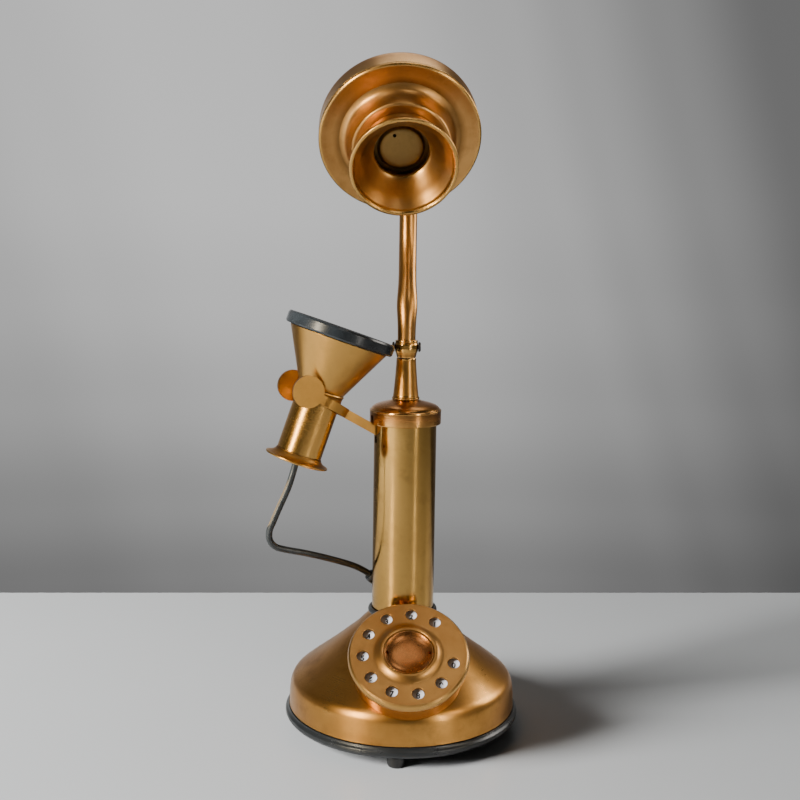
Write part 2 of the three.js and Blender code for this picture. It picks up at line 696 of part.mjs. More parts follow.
function dialCentreCap() {
  const outline = [
    point(0, WELL_FLOOR + 0.1), point(13.7, WELL_FLOOR + 0.1), point(13.7, 1.5), point(13.1, 1.5),
    point(10.6, 0.2), point(6, -0.6), point(0, -0.8),
  ];
  const pinHoles = [-1, 1].map((side) => disc(0.6, -0.4, 4, 8).translate(side * 11.5, 0, 0));
  return cut(turned(outline, 20), ...pinHoles);
}

function dialCup() {
  const outer = [
    point(STUD_COLLAR_R, -DIAL_DEPTH), point(29, -DIAL_DEPTH), point(28.8, -26),
    point(30, -26), point(31, -16), point(33, CUP_TOP),
  ];
  const inner = [
    point(31.8, CUP_TOP), point(30.4, FLOOR_TOP), point(STUD_COLLAR_R, FLOOR_TOP),
  ];
  return cut(asDial(turned([...outer, ...inner], 30)), domeClearance());
}

// The fixed plate that carries the number plate on three pillars standing on the cup's floor.
function dialFrame() {
  const plate = ring(SHAFT_R + 0.5, 27.2, -6.4, -5.4);
  const pillars = [80, 320, 260].map((angle) =>
    disc(1.5, FLOOR_TOP + GAP, -5.6, 10).translate(...onCircle(25.4, angle)));
  return join(plate, ...pillars);
}

function returnSpring() {
  const [turns, perTurn, innerR, outerR] = [3, 12, 5.2, 13];
  const count = turns * perTurn;
  const spiral = (offset) => Array.from({ length: count + 1 }, (_, i) =>
    onCircle(innerR + ((outerR - innerR) * i) / count + offset, (360 * i) / perTurn));
  const edge = [...spiral(0.3), ...spiral(-0.3).reverse()];
  const outline = new THREE.Shape(edge.map(([x, y]) => new THREE.Vector2(x, y)));
  const settings = { depth: 2.2, bevelEnabled: false };
  return closed(new THREE.ExtrudeGeometry(outline, settings).translate(0, 0, FLOOR_TOP + 0.6));
}

function pinion() {
  const [x, y] = onCircle(PINION_DISTANCE, PINION_ANGLE);
  const teeth = gear(PINION_TEETH, 0, GEAR_BOTTOM - 0.2, GEAR_TOP + 0.2);
  const phase = 180 + PINION_ANGLE + 180 / PINION_TEETH + meshPhase();
  const whole = join(
    teeth, disc(1, FLOOR_TOP + GAP, -6.7, 8), disc(4, FLOOR_TOP + 0.8, GEAR_BOTTOM - 0.1, 10));
  return whole.rotateZ(radians(phase)).translate(x, y, 0);
}

// How far the pinion stands round so that its gap faces the drive gear's tooth.
function meshPhase() {
  const toothStep = 360 / GEAR_TEETH;
  const past = PINION_ANGLE / toothStep - Math.round(PINION_ANGLE / toothStep);
  return (past * 360) / PINION_TEETH;
}

function pulseContacts() {
  const block = box(5, 4, 3.6, 20.5, -7, FLOOR_TOP + GAP + 1.8);
  const blades = [-0.9, 0.9].map((side) => box(0.4, 14, 2, 20.5 + side, 1, FLOOR_TOP + 1.6));
  return join(block, ...blades);
}

function buildDial() {
  node(dial, 'finger_wheel', fingerWheel(), brass);
  node(dial, 'dial_centre_cap', dialCentreCap(), copperyBrass);
  const plate = [
    point(8, -4.9), point(31, -4.9), point(31, -2.6), point(16.4, -2.6), point(16.1, -4.2),
    point(8, -4.2),
  ];
  node(dial, 'number_plate', turned(plate), enamel);
  node(dial, 'dial_frame', dialFrame(), steel);
  node(phone, 'dial_cup', dialCup(), brass);
  const shaft = join(disc(SHAFT_R, -17, WELL_FLOOR - 0.2), disc(3.6, -10.4, GEAR_BOTTOM - 0.1, 14));
  node(dial, 'dial_shaft', shaft, steel);
  node(dial, 'dial_drive_gear', gear(GEAR_TEETH, SHAFT_R + GAP, GEAR_BOTTOM, GEAR_TOP), columnBrass);
  node(dial, 'dial_return_spring', returnSpring(), darkSteel);
  node(dial, 'governor_pinion', pinion(), steel);
  node(dial, 'pulse_contacts', pulseContacts(), bakelite);
  const stud = [
    point(SHAFT_R + GAP, FLOOR_TOP + 0.4), point(SHAFT_R + GAP, -27), point(DIAL_STUD_R, -27),
    point(DIAL_STUD_R, -DIAL_DEPTH - 0.2), point(4.6, -DIAL_DEPTH - 0.2), point(4.6, FLOOR_TOP + 0.4),
  ];
  node(dial, 'dial_stud', turned(stud, 16), steel);
  node(dial, 'dial_nut', hexNut(13, DIAL_STUD_R + GAP, -23.5, -20), steel);
}

// ---------------------------------------------------------------- build
buildBase();
buildColumn();
buildHook();
node(phone, 'arm_rod', armRod(), brass);
buildTransmitter();
buildReceiver();
buildDial();

export default phone;
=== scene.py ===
"""The looks of a brass candlestick telephone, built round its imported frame.

Lengths are in millimetres from the stand's own upright axis and from a level 2.4 mm above the
table, as in the part's source, and become metres in the row frame by way of SHIFT and MM.
"""
import math

import bmesh
import bpy
from mathutils import Matrix, Vector


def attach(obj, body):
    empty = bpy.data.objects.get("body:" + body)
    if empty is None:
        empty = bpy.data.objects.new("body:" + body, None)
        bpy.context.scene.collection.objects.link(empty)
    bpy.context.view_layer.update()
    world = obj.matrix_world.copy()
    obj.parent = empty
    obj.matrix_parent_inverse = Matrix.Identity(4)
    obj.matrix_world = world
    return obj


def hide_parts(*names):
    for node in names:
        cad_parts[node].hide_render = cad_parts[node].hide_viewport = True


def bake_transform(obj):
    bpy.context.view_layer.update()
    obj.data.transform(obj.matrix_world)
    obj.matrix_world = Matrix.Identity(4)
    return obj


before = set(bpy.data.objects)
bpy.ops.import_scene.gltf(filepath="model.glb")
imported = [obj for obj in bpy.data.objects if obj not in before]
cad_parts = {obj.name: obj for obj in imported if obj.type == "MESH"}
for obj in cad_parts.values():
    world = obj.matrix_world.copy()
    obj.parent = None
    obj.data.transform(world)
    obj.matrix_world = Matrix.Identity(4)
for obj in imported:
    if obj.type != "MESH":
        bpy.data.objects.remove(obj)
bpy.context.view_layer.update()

MM = 0.001
SHIFT = Vector((4.7, 4.2, 2.4))  # from the stand's own origin to the middle of the footprint

# ------------------------------------------------------------------ driving dimensions
CAMERA_AT = (-3.3, -642.4, 278.5)
CAMERA_DOWN = 7.63  # degrees, like every angle below
CAMERA_ROLL = 0.84
LENS = 50.0

TABLE = -2.4
FOOT_CIRCLE_R = 62.0
FOOT_TURN = -92.5  # where the front foot stands, from the right
SHELL_WALL = 1.4
COLUMN_R = 18.3
COLUMN_BORE_R = 16.9
COLUMN_BOTTOM = 65.3
COLUMN_TOP = 185.3
COLLAR_SCREWS_AT = 223.6  # height of the screws that clamp the arm

DIAL_AT = (3.5, -52.0, 58.3)  # centre of the finger wheel's face
DIAL_TILT = 37.0
HOLE_R = 3.3
HOLE_CIRCLE_R = 25.5
FIRST_HOLE = 54.5  # the hole for 1, from the right
HOLE_STEP = 32.5
DIGITS = "1234567890"
PLATE_TOP = -2.6  # the number plate's face, below the wheel's
DIGIT_SIZE = 4.4
DIGIT_DROP = -0.2  # from the middle of its hole
DIGIT_LIFT = 0.08  # off the plate
DIGIT_THICK = 0.05
DIGIT_BOLD = 0.13

HOOK_PIVOT = (0.0, 0.0, 165.1)
HOOK_YAW = 201.3
HOOK_RISE = 29.6
FORK_AT = 58.9  # along the hook, from its pivot to the receiver's axis
FORK_R = 15.6  # middle of the fork's bend
PRONG_END = 73.2
PRONG_DISC_R = 9.0
STRIP_WIDTH = 2.0
STRIP_HEIGHT = 5.2

RECEIVER_FOOT = (-61.6, -22.0, 160.0)  # centre of its bottom flange
RECEIVER_TOP = (-36.2, -16.2, 235.3)  # centre of its ear cap's face
BARREL_R = 13.0
BARREL_BORE_R = 11.8

ROD_R = 5.2
ROD_ROUTE = [
    (0, 0, 220.3), (0, 0, 230), (0, 0.2, 240), (0, 2.4, 249), (0, 7.5, 259), (0, 13.6, 270),
    (0, 18.4, 282), (0, 20.6, 296), (0, 20.8, 312), (0, 18.4, 327), (0, 13, 338), (0, 8, 344),
]
SWELL_AT = 250.5  # height where the bent rod is squeezed wider and flatter
SWELL_REACH = 9.0
SWELL_WIDER = 0.75
SWELL_FLATTER = 0.5
EYE_HALF = 2.2  # half the thickness of the rod's flat eye

TILT_PIVOT = (0.0, 6.0, 345.0)  # where the transmitter tilts on the arm
HEAD_YAW = 5.2
HEAD_DROP = 34.5
HEAD_OFFSET = (-8.0, 11.9, 29.4)  # face centre from the pivot: right, up the face, forward

CORD_R = 1.9
CORD_SIDES = 16
CORD_BORE_R = CORD_R + 0.45  # the hole that the cord runs through
CORD_ROUTE = [
    (-62.2, -22.4, 157.8), (-63.4, -22.9, 153.2), (-66.1, -24.5, 144.4), (-71, -26, 133.1),
    (-74.3, -27, 125.2), (-76.3, -27.3, 120), (-76.2, -27, 114.7), (-73.3, -25.8, 110.6),
    (-67.9, -23.5, 108.3), (-56.8, -18.5, 105), (-45.7, -12, 100.7), (-35.2, -4, 95.6),
    (-28.4, 2.6, 91.4), (-22.4, 7.8, 86.8), (-19.7, 9.1, 84.2), (-16.9, 10.4, 81.6),
    (-15.2, 11.2, 80),
]
FERRULE_AT = (-16.9, 10.4, 81.6)
FERRULE_ALONG = (0.69, 0.33, -0.645)

ROUND = 128  # facets round a large turned piece
SMALL = 40  # facets round a small one
FILLET_STEPS = 5
BEVEL_STEPS = 3
SHARP = math.radians(35)
BEVEL_FROM = math.radians(40)
TINY = 1e-6


def place(position, *turns):
    """The frame at a point, turned about its own axes in order."""
    matrix = Matrix.Translation((Vector(position) + SHIFT) * MM)
    for axis, degrees in turns:
        matrix = matrix @ Matrix.Rotation(math.radians(degrees), 4, axis)
    return matrix


def upright_to(position, along):
    """The frame at a point whose Z runs along a direction."""
    turn = Vector((0, 0, 1)).rotation_difference(Vector(along).normalized())
    return place(position) @ turn.to_matrix().to_4x4()


QUARTER_X = Matrix.Rotation(math.radians(90), 4, "X")
QUARTER_Y = Matrix.Rotation(math.radians(90), 4, "Y")
STAND = place((0, 0, 0))
DIAL = place(DIAL_AT, ("X", DIAL_TILT))
HEAD = place(TILT_PIVOT, ("Z", HEAD_YAW), ("X", 90 + HEAD_DROP))
DRUM = HEAD @ Matrix.Translation(Vector(HEAD_OFFSET) * MM)
HOOK = place(HOOK_PIVOT, ("Z", HOOK_YAW), ("Y", -HOOK_RISE))
RECEIVER_AXIS = Vector(RECEIVER_TOP) - Vector(RECEIVER_FOOT)
RECEIVER_LENGTH = RECEIVER_AXIS.length
RECEIVER = upright_to(RECEIVER_FOOT, RECEIVER_AXIS)
FERRULE = upright_to(FERRULE_AT, FERRULE_ALONG)


# ------------------------------------------------------------------ camera
def make_camera():
    data = bpy.data.cameras.new("camera")
    data.lens = LENS
    data.clip_end = 20
    camera = bpy.data.objects.new("camera", data)
    bpy.context.scene.collection.objects.link(camera)
    turn = Matrix.Rotation(math.radians(90 - CAMERA_DOWN), 4, "X")
    roll = Matrix.Rotation(math.radians(CAMERA_ROLL), 4, "Z")
    camera.matrix_world = place(CAMERA_AT) @ turn @ roll
    bpy.context.scene.camera = camera


make_camera()


# ------------------------------------------------------------------ mesh helpers
def catmull(points, per):
    """A smooth line through the points, with so many steps between neighbours."""
    points = [Vector(p) for p in points]
    ends = [2 * points[0] - points[1]] + points + [2 * points[-1] - points[-2]]
    line = []
    for i in range(1, len(ends) - 2):
        a, b, c, d = ends[i - 1:i + 3]
        for k in range(per):
            t = k / per
            line.append(0.5 * (2 * b + (c - a) * t + (2 * a - 5 * b + 4 * c - d) * t * t
                               + (3 * b - a - 3 * c + d) * t ** 3))
    line.append(points[-1])
    return line


def smooth_line(points, per=5):
    """A smooth outline of (r, z) through the points."""
    return [(p.x, p.y) for p in catmull([(r, z, 0) for r, z in points], per)]


def filleted(outline):
    """(r, z, mark) for an outline of (r, z) or (r, z, fillet radius).

    The mark is 1 on an outward corner that has a fillet, which is painted brighter as wear and painted
    highlight, and -1 on an inward one, which is painted darker as painted shade.
    """
    count = len(outline)
    area = sum(outline[i - 1][0] * outline[i][1] - outline[i][0] * outline[i - 1][1]
               for i in range(count))
    points = []
    for i, (r, z, *rest) in enumerate(outline):
        here = Vector((r, z))
        before = Vector(outline[i - 1][:2]) - here
        after = Vector(outline[(i + 1) % count][:2]) - here
        if not rest:
            points.append((r, z, 0.0))
            continue
        angle = before.angle(after)
        reach = min(rest[0] / math.tan(angle / 2), 0.45 * before.length, 0.45 * after.length)
        radius = reach * math.tan(angle / 2)
        inward = (before.normalized() + after.normalized()).normalized()
        centre = here + inward * (radius / math.sin(angle / 2))
        start = here + before.normalized() * reach - centre
        end = here + after.normalized() * reach - centre
        turning = before.y * after.x - before.x * after.y
        wear_and_painted_light = 1.0 if turning * area > 0 else -1.0
        for k in range(FILLET_STEPS + 1):
            arm = start.lerp(end, k / FILLET_STEPS).normalized() * radius
            points.append((centre.x + arm.x, centre.y + arm.y, wear_and_painted_light))
    return points


def mesh_of(bm, name):
    bmesh.ops.remove_doubles(bm, verts=bm.verts, dist=TINY * 0.1)
    bmesh.ops.recalc_face_normals(bm, faces=bm.faces)
    mesh = bpy.data.meshes.new(name)
    bm.to_mesh(mesh)
    bm.free()
    return mesh


def lathe(name, outline, segments=ROUND):
    """A closed solid of revolution about Z; the outline runs axis to axis or closes on itself."""
    points = filleted(outline)
    bm = bmesh.new()
    # the mark of wear and painted light: painted highlight with wear on outward fillets, painted shade in
    # inward corners
    layer = bm.verts.layers.float.new("wear_and_painted_light")
    rings = []
    for r, z, wear_and_painted_light in points:
        count = 1 if r < TINY else segments
        ring = []
        for k in range(count):
            angle = 2 * math.pi * k / segments
            vert = bm.verts.new((r * MM * math.cos(angle), r * MM * math.sin(angle), z * MM))
            vert[layer] = wear_and_painted_light
            ring.append(vert)
        rings.append(ring)
    if len(rings[0]) > 1:
        rings.append(rings[0])
    for lower, upper in zip(rings, rings[1:]):
        for k in range(segments):
            n = (k + 1) % segments
            corners = [lower[k % len(lower)], lower[n % len(lower)],
                       upper[n % len(upper)], upper[k % len(upper)]]
            corners = [v for i, v in enumerate(corners) if v not in corners[:i]]
            if len(corners) > 2:
                bm.faces.new(corners)
    return mesh_of(bm, name)


def swept(name, route, radii, sides):
    """A capped tube along a line, with a half width and a half thickness at each of its points."""
    bm = bmesh.new()
    rings = []
    side = Vector((1, 0, 0))
    for i, (centre, (wide, thick)) in enumerate(zip(route, radii)):
        along = (route[min(i + 1, len(route) - 1)] - route[max(i - 1, 0)]).normalized()
        side = (side - along * side.dot(along)).normalized()
        up = along.cross(side)
        rings.append([bm.verts.new(centre + side * wide * math.cos(2 * math.pi * k / sides)
                                   + up * thick * math.sin(2 * math.pi * k / sides))
                      for k in range(sides)])
    for lower, upper in zip(rings, rings[1:]):
        for k in range(sides):
            n = (k + 1) % sides
            bm.faces.new([lower[k], lower[n], upper[n], upper[k]])
    bm.faces.new(rings[0])
    bm.faces.new(rings[-1])
    return mesh_of(bm, name)


def slab(name, outline, low, high, matrix=None):
    """An outline in the XY plane, thickened from low to high along Z."""
    bm = bmesh.new()
    floor = [bm.verts.new((x * MM, y * MM, low * MM)) for x, y in outline]
    roof = [bm.verts.new((x * MM, y * MM, high * MM)) for x, y in outline]
    bm.faces.new(floor)
    bm.faces.new(roof)
    for k in range(len(outline)):
        n = (k + 1) % len(outline)
        bm.faces.new([floor[k], floor[n], roof[n], roof[k]])
    if matrix:
        bm.transform(matrix)
    return mesh_of(bm, name)


def evaluated_mesh(obj):
    graph = bpy.context.evaluated_depsgraph_get()
    return bpy.data.meshes.new_from_object(obj.evaluated_get(graph))


def combined(mesh, tools, operation):
    """The mesh after a boolean with each tool mesh, which are used up."""
    target = bpy.data.objects.new("target", mesh)
    bpy.context.scene.collection.objects.link(target)
    helpers = []
    for tool in tools:
        helper = bpy.data.objects.new("helper", tool)
        bpy.context.scene.collection.objects.link(helper)
        helpers.append(helper)
        modifier = target.modifiers.new("boolean", "BOOLEAN")
        modifier.operation = operation
        modifier.solver = "EXACT"
        modifier.object = helper
    bpy.context.view_layer.update()
    result = evaluated_mesh(target)
    result.name = mesh.name
    for thing in [target, *helpers]:
        data = thing.data
        bpy.data.objects.remove(thing)
        bpy.data.meshes.remove(data)
    return result


def moved(mesh, matrix):
    mesh.transform(matrix)
    return mesh


def rod_mesh(name, r, low, high, segments=SMALL):
    return lathe(name, [(0, low), (r, low), (r, high), (0, high)], segments)


def cross_slot(length, half, low, high):
    """A tool that cuts a screw's straight slot."""
    return slab("groove", [(-length, -half), (length, -half), (length, half), (-length, half)], low, high)


def piece(name, mesh, at, look, body, stands_for=()):
    """A shown piece on a CAD body, or on none yet, that takes the place of the CAD nodes it stands for."""
    obj = bpy.data.objects.new(name, mesh)
    bpy.context.scene.collection.objects.link(obj)
    obj.matrix_world = at
    mesh.materials.clear()
    mesh.materials.append(look)
    mesh.polygons.foreach_set("use_smooth", [True] * len(mesh.polygons))
    mesh.set_sharp_from_angle(angle=SHARP)
    weighted = obj.modifiers.new("weighted", "WEIGHTED_NORMAL")
    weighted.keep_sharp = True
    if body:
        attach(obj, body)
    if stands_for:
        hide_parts(*stands_for)
    return obj


def rounded(obj, width):
    """A bevel along the piece's sharp edges, before its normals are weighted."""
    bevel = obj.modifiers.new("bevel", "BEVEL")
    bevel.width = width * MM
    bevel.segments = BEVEL_STEPS
    bevel.limit_method = "ANGLE"
    bevel.angle_limit = BEVEL_FROM
    bevel.harden_normals = False
    obj.modifiers.move(len(obj.modifiers) - 1, 0)
    return obj


# ------------------------------------------------------------------ materials
class Graph:
    """A material's nodes, with short calls for the ones used here.

    Positions are object coordinates in metres, so a noise scale is in cells per metre.
    """

    def __init__(self, name):
        self.material = bpy.data.materials.new(name)
        self.material.use_nodes = True
        self.tree = self.material.node_tree
        self.shader = self.tree.nodes["Principled BSDF"]
        self.place = self.node("ShaderNodeTexCoord").outputs["Object"]

    def node(self, kind, **settings):
        made = self.tree.nodes.new(kind)
        for key, value in settings.items():
            setattr(made, key, value)
        return made

    def feed(self, socket, value):
        if isinstance(value, bpy.types.NodeSocket):
            self.tree.links.new(value, socket)
        else:
            socket.default_value = value

    def maths(self, operation, a, b=0.0):
        made = self.node("ShaderNodeMath", operation=operation)
        for socket, value in zip(made.inputs, (a, b)):
            self.feed(socket, value)
        return made.outputs[0]

    def noise(self, scale, detail, roughness, where=None):
        made = self.node("ShaderNodeTexNoise")
        self.feed(made.inputs["Vector"], where or self.place)
        made.inputs["Scale"].default_value = scale
        made.inputs["Detail"].default_value = detail
        made.inputs["Roughness"].default_value = roughness
        return made.outputs["Fac"]

    def turned(self):
        """Coordinates that change across a turned piece's tool marks and hardly along them."""
        apart = self.node("ShaderNodeSeparateXYZ")
        self.feed(apart.inputs[0], self.place)
        x, y, z = apart.outputs
        r = self.maths("SQRT", self.maths("ADD", self.maths("MULTIPLY", x, x),
                                          self.maths("MULTIPLY", y, y)))
        angle = self.maths("MULTIPLY", self.maths("ARCTAN2", y, x), MARK_LENGTH)
        joined = self.node("ShaderNodeCombineXYZ")
        self.feed(joined.inputs[0], r)
        self.feed(joined.inputs[1], angle)
        self.feed(joined.inputs[2], z)
        return joined.outputs[0]

    def spread(self, value, low, high, to_low=0.0, to_high=1.0):
        made = self.node("ShaderNodeMapRange")
        for socket, number in zip(made.inputs, (value, low, high, to_low, to_high)):
            self.feed(socket, number)
        return made.outputs[0]

    def mix(self, factor, a, b):
        made = self.node("ShaderNodeMix", data_type="RGBA")
        self.feed(made.inputs[0], factor)
        self.feed(made.inputs[6], a)
        self.feed(made.inputs[7], b)
        return made.outputs[2]

    # The mesh's mark of wear and painted light: painted highlight on outward fillets, painted shade in
    # inward corners, painted sheen on the cord.
    def wear_and_painted_light(self):
        made = self.node("ShaderNodeAttribute", attribute_name="wear_and_painted_light")
        return made.outputs["Fac"]

    def bump(self, height, strength, distance):
        made = self.node("ShaderNodeBump")
        made.inputs["Strength"].default_value = strength
        made.inputs["Distance"].default_value = distance
        self.feed(made.inputs["Height"], height)
        self.feed(self.shader.inputs["Normal"], made.outputs[0])


def rgb(r, g, b):
    return (r, g, b, 1.0)


MARK_LENGTH = 0.0006  # a small factor, so that a tool mark hardly changes round the piece
CLOUD_SCALE, STAIN_SCALE, GRAIN_SCALE = 38, 85, 420
TURNED_SCALE, SANDED_SCALE = 5200, 2600
# Outward fillets are painted brighter as wear and painted highlight; inward corners are painted darker as
# painted shade.
WORN_EDGE_AND_HIGHLIGHT = (0.72, 0.43, 0.12)
PAINTED_CORNER_SHADE = (0.10, 0.045, 0.012)


def brass(name, bright, deep, tarnish, rough, patches, brushed=True):
    """Aged brass: cloudy tarnish, turning marks, edges painted brighter as wear and painted highlight, and
    inward corners painted darker as painted shade.
    """
    g = Graph(name)
    cloud = g.spread(g.noise(CLOUD_SCALE, 5, 0.6), 0.32, 0.68)
    fine = g.noise(GRAIN_SCALE, 3, 0.6)
    if brushed:
        marks = g.noise(TURNED_SCALE, 2, 0.6, where=g.turned())
    else:
        marks = g.noise(SANDED_SCALE, 2, 0.6)
    colour = g.mix(cloud, rgb(*deep), rgb(*bright))
    stain = g.maths("MULTIPLY", g.spread(g.noise(STAIN_SCALE, 6, 0.65), 0.52, 0.72), patches)
    colour = g.mix(stain, colour, rgb(*tarnish))
    colour = g.mix(g.maths("MULTIPLY", g.spread(marks, 0.35, 0.7), 0.06), colour, rgb(*tarnish))
    wear_and_painted_light = g.wear_and_painted_light()
    edge = g.maths("MAXIMUM", wear_and_painted_light, 0.0)
    corner_shade = g.maths("MAXIMUM", g.maths("MULTIPLY", wear_and_painted_light, -1.0), 0.0)
    # painted highlight with wear on outward fillets, then painted shade in inward corners
    colour = g.mix(g.maths("MULTIPLY", edge, 0.4), colour, rgb(*WORN_EDGE_AND_HIGHLIGHT))
    colour = g.mix(g.maths("MULTIPLY", corner_shade, 0.6), colour, rgb(*PAINTED_CORNER_SHADE))
    g.feed(g.shader.inputs["Base Color"], colour)
    g.shader.inputs["Metallic"].default_value = 1.0
    rough_now = g.maths("ADD", g.spread(cloud, 0, 1, rough + 0.05, rough - 0.03),
                        g.spread(marks, 0.3, 0.7, -0.02, 0.03))
    rough_now = g.maths("ADD", rough_now, g.maths("MULTIPLY", stain, 0.14))
    rough_now = g.maths("SUBTRACT", rough_now, g.maths("MULTIPLY", edge, 0.08))
    g.feed(g.shader.inputs["Roughness"], rough_now)
    g.bump(g.maths("ADD", g.maths("MULTIPLY", marks, 0.35), fine), 0.12, 0.00004)
    return g.material


def finish(name, colour, dark, rough, metal, scale, bump=0.2, depth=0.0001):
    """Any plain finish: two cloudy shades, uneven roughness and a fine grain."""
    g = Graph(name)
    cloud = g.spread(g.noise(scale, 5, 0.6), 0.3, 0.7)
    grain = g.noise(scale * 14, 3, 0.6)
    worn = g.mix(cloud, rgb(*dark), rgb(*colour))
    worn = g.mix(g.maths("MULTIPLY", g.spread(grain, 0.45, 0.8), 0.25), worn, rgb(*dark))
    g.feed(g.shader.inputs["Base Color"], worn)
    g.shader.inputs["Metallic"].default_value = metal
    uneven = g.maths("ADD", cloud, grain)
    g.feed(g.shader.inputs["Roughness"], g.spread(uneven, 0.4, 1.6, rough + 0.08, rough - 0.08))
    g.bump(grain, bump, depth)
    return g.material


def cord_rubber():
    """The cord's dark rubber, with a browner stripe painted along its upper side as a painted sheen."""
    g = Graph("cord_rubber")
    cloud = g.spread(g.noise(160, 5, 0.6), 0.3, 0.7)
    colour = g.mix(cloud, rgb(0.012, 0.014, 0.014), rgb(0.036, 0.039, 0.038))
    # painted sheen: browner where the mark is set
    colour = g.mix(g.maths("MAXIMUM", g.wear_and_painted_light(), 0.0), colour, rgb(0.17, 0.12, 0.065))
    g.feed(g.shader.inputs["Base Color"], colour)
    g.feed(g.shader.inputs["Roughness"], g.spread(cloud, 0, 1, 0.42, 0.3))
    g.bump(g.noise(2200, 2, 0.6), 0.15, 0.00005)
    return g.material


# Each brass: bright shade, deep shade, tarnish, roughness, share of tarnished patches.
BRIGHT, DEEP, TARNISH = (0.60, 0.30, 0.075), (0.44, 0.20, 0.045), (0.17, 0.07, 0.016)
brass_body = brass("brass_body", BRIGHT, DEEP, TARNISH, 0.30, 0.35)
brass_head = brass("brass_head", (0.54, 0.285, 0.092), (0.41, 0.20, 0.058), TARNISH, 0.33, 0.35)
brass_column = brass(
    "brass_column", (0.41, 0.225, 0.06), (0.29, 0.15, 0.036), (0.14, 0.07, 0.018), 0.25, 0.6)
brass_cap = brass(
    "brass_cap", (0.62, 0.29, 0.085), (0.48, 0.205, 0.055), (0.22, 0.085, 0.022), 0.26, 0.3)
brass_horn = brass(
    "brass_horn", (0.52, 0.26, 0.062), (0.38, 0.18, 0.040), (0.18, 0.08, 0.018), 0.40, 0.5)
brass_strip = brass(
    "brass_strip", (0.50, 0.26, 0.06), (0.38, 0.19, 0.042), (0.20, 0.09, 0.02), 0.40, 0.3, brushed=False)
brass_rod = brass(
    "brass_rod", (0.58, 0.29, 0.085), (0.44, 0.20, 0.052), (0.20, 0.09, 0.024), 0.30, 0.35)
brass_wheel = brass(
    "brass_wheel", (0.54, 0.285, 0.088), (0.44, 0.215, 0.062), (0.22, 0.10, 0.028), 0.34, 0.3)
brass_dish = brass(
    "brass_dish", (0.50, 0.21, 0.068), (0.36, 0.135, 0.042), (0.17, 0.058, 0.018), 0.25, 0.35)
brass_grille = brass(
    "brass_grille", (0.26, 0.155, 0.05), (0.18, 0.105, 0.034), (0.08, 0.045, 0.014), 0.38, 0.6,
    brushed=False)

# Each plain finish: main shade, dark shade, roughness, metal, size of its clouds, bump and its depth.
rubber = finish(
    "black_rubber", (0.016, 0.017, 0.017), (0.006, 0.007, 0.007), 0.32, 0, 90, 0.06, 0.00006)
foot_rubber = finish("foot_rubber", (0.016, 0.016, 0.015), (0.007, 0.007, 0.007), 0.45, 0, 200, 0.3)
horn_black = finish(
    "horn_black", (0.026, 0.030, 0.032), (0.010, 0.012, 0.013), 0.26, 0, 120, 0.1, 0.00005)
enamel = finish("white_enamel", (0.90, 0.91, 0.92), (0.74, 0.76, 0.79), 0.3, 0, 70, 0.05)
ink = finish("digit_ink", (0.010, 0.010, 0.012), (0.004, 0.004, 0.005), 0.5, 0, 300, 0.05)
steel = finish("plain_steel", (0.52, 0.52, 0.51), (0.30, 0.30, 0.30), 0.34, 1, 150)
dark_steel = finish("dark_steel", (0.075, 0.068, 0.062), (0.028, 0.025, 0.023), 0.42, 1, 200)
iron = finish("cast_iron", (0.12, 0.12, 0.125), (0.05, 0.048, 0.047), 0.7, 0.7, 300, 0.5, 0.0004)
bakelite = finish("bakelite", (0.10, 0.045, 0.025), (0.045, 0.02, 0.012), 0.35, 0, 90, 0.08)
copper = finish("copper_winding", (0.62, 0.28, 0.14), (0.36, 0.14, 0.07), 0.33, 1, 500, 0.5, 0.0002)
carbon = finish("carbon_cell", (0.045, 0.045, 0.047), (0.02, 0.02, 0.021), 0.75, 0, 400, 0.4)
sheen_painted_rubber = cord_rubber()


# ------------------------------------------------------------------ cord
PAINTED_SHEEN_FACES = Vector((-0.45, -0.35, 0.8))  # the cord's upper left front side, towards the lamps, where its painted sheen lies


def make_cord():
    """The cord hangs from the receiver and ends in the column, between the two bodies, and is put on
    neither.
    """
    route = [(p + SHIFT) * MM for p in catmull(CORD_ROUTE, 4)]
    radius = CORD_R * MM
    mesh = swept("cord", route, [(radius, radius)] * len(route), CORD_SIDES)
    wear_and_painted_light = mesh.attributes.new("wear_and_painted_light", "FLOAT", "POINT")
    for k, vert in enumerate(mesh.vertices):
        nearest = min(route, key=lambda p: (p - vert.co).length)
        rise = (vert.co - nearest) / radius
        # painted sheen: a brown stripe along the cord's upper left front side
        wear_and_painted_light.data[k].value = 1.0 if rise.dot(PAINTED_SHEEN_FACES) > 0.8 else 0.0
    cord = piece("cord", mesh, Matrix.Identity(4), sheen_painted_rubber, None, ["receiver_cord"])
    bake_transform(cord)


make_cord()


# ------------------------------------------------------------------ base
DOME = smooth_line([
    (67.0, 11.4), (66.95, 17.0), (66.4, 22.5), (65.5, 25.6), (64.0, 28.0), (61.5, 30.3), (56.0, 34.6),
    (49.0, 39.8), (42.0, 45.1), (35.0, 50.8), (28.0, 56.6), (24.6, 60.0), (21.6, 63.0), (19.9, 64.6),
])


def inset(line, thickness):
    """The line moved inwards by a sheet's thickness, from the last point back to the first."""
    moved_line = []
    for i, (r, z) in enumerate(line):
        before, after = line[max(i - 1, 0)], line[min(i + 1, len(line) - 1)]
        along = Vector((after[0] - before[0], after[1] - before[1])).normalized()
        moved_line.append((r - along.y * thickness, z + along.x * thickness))
    return moved_line[::-1]


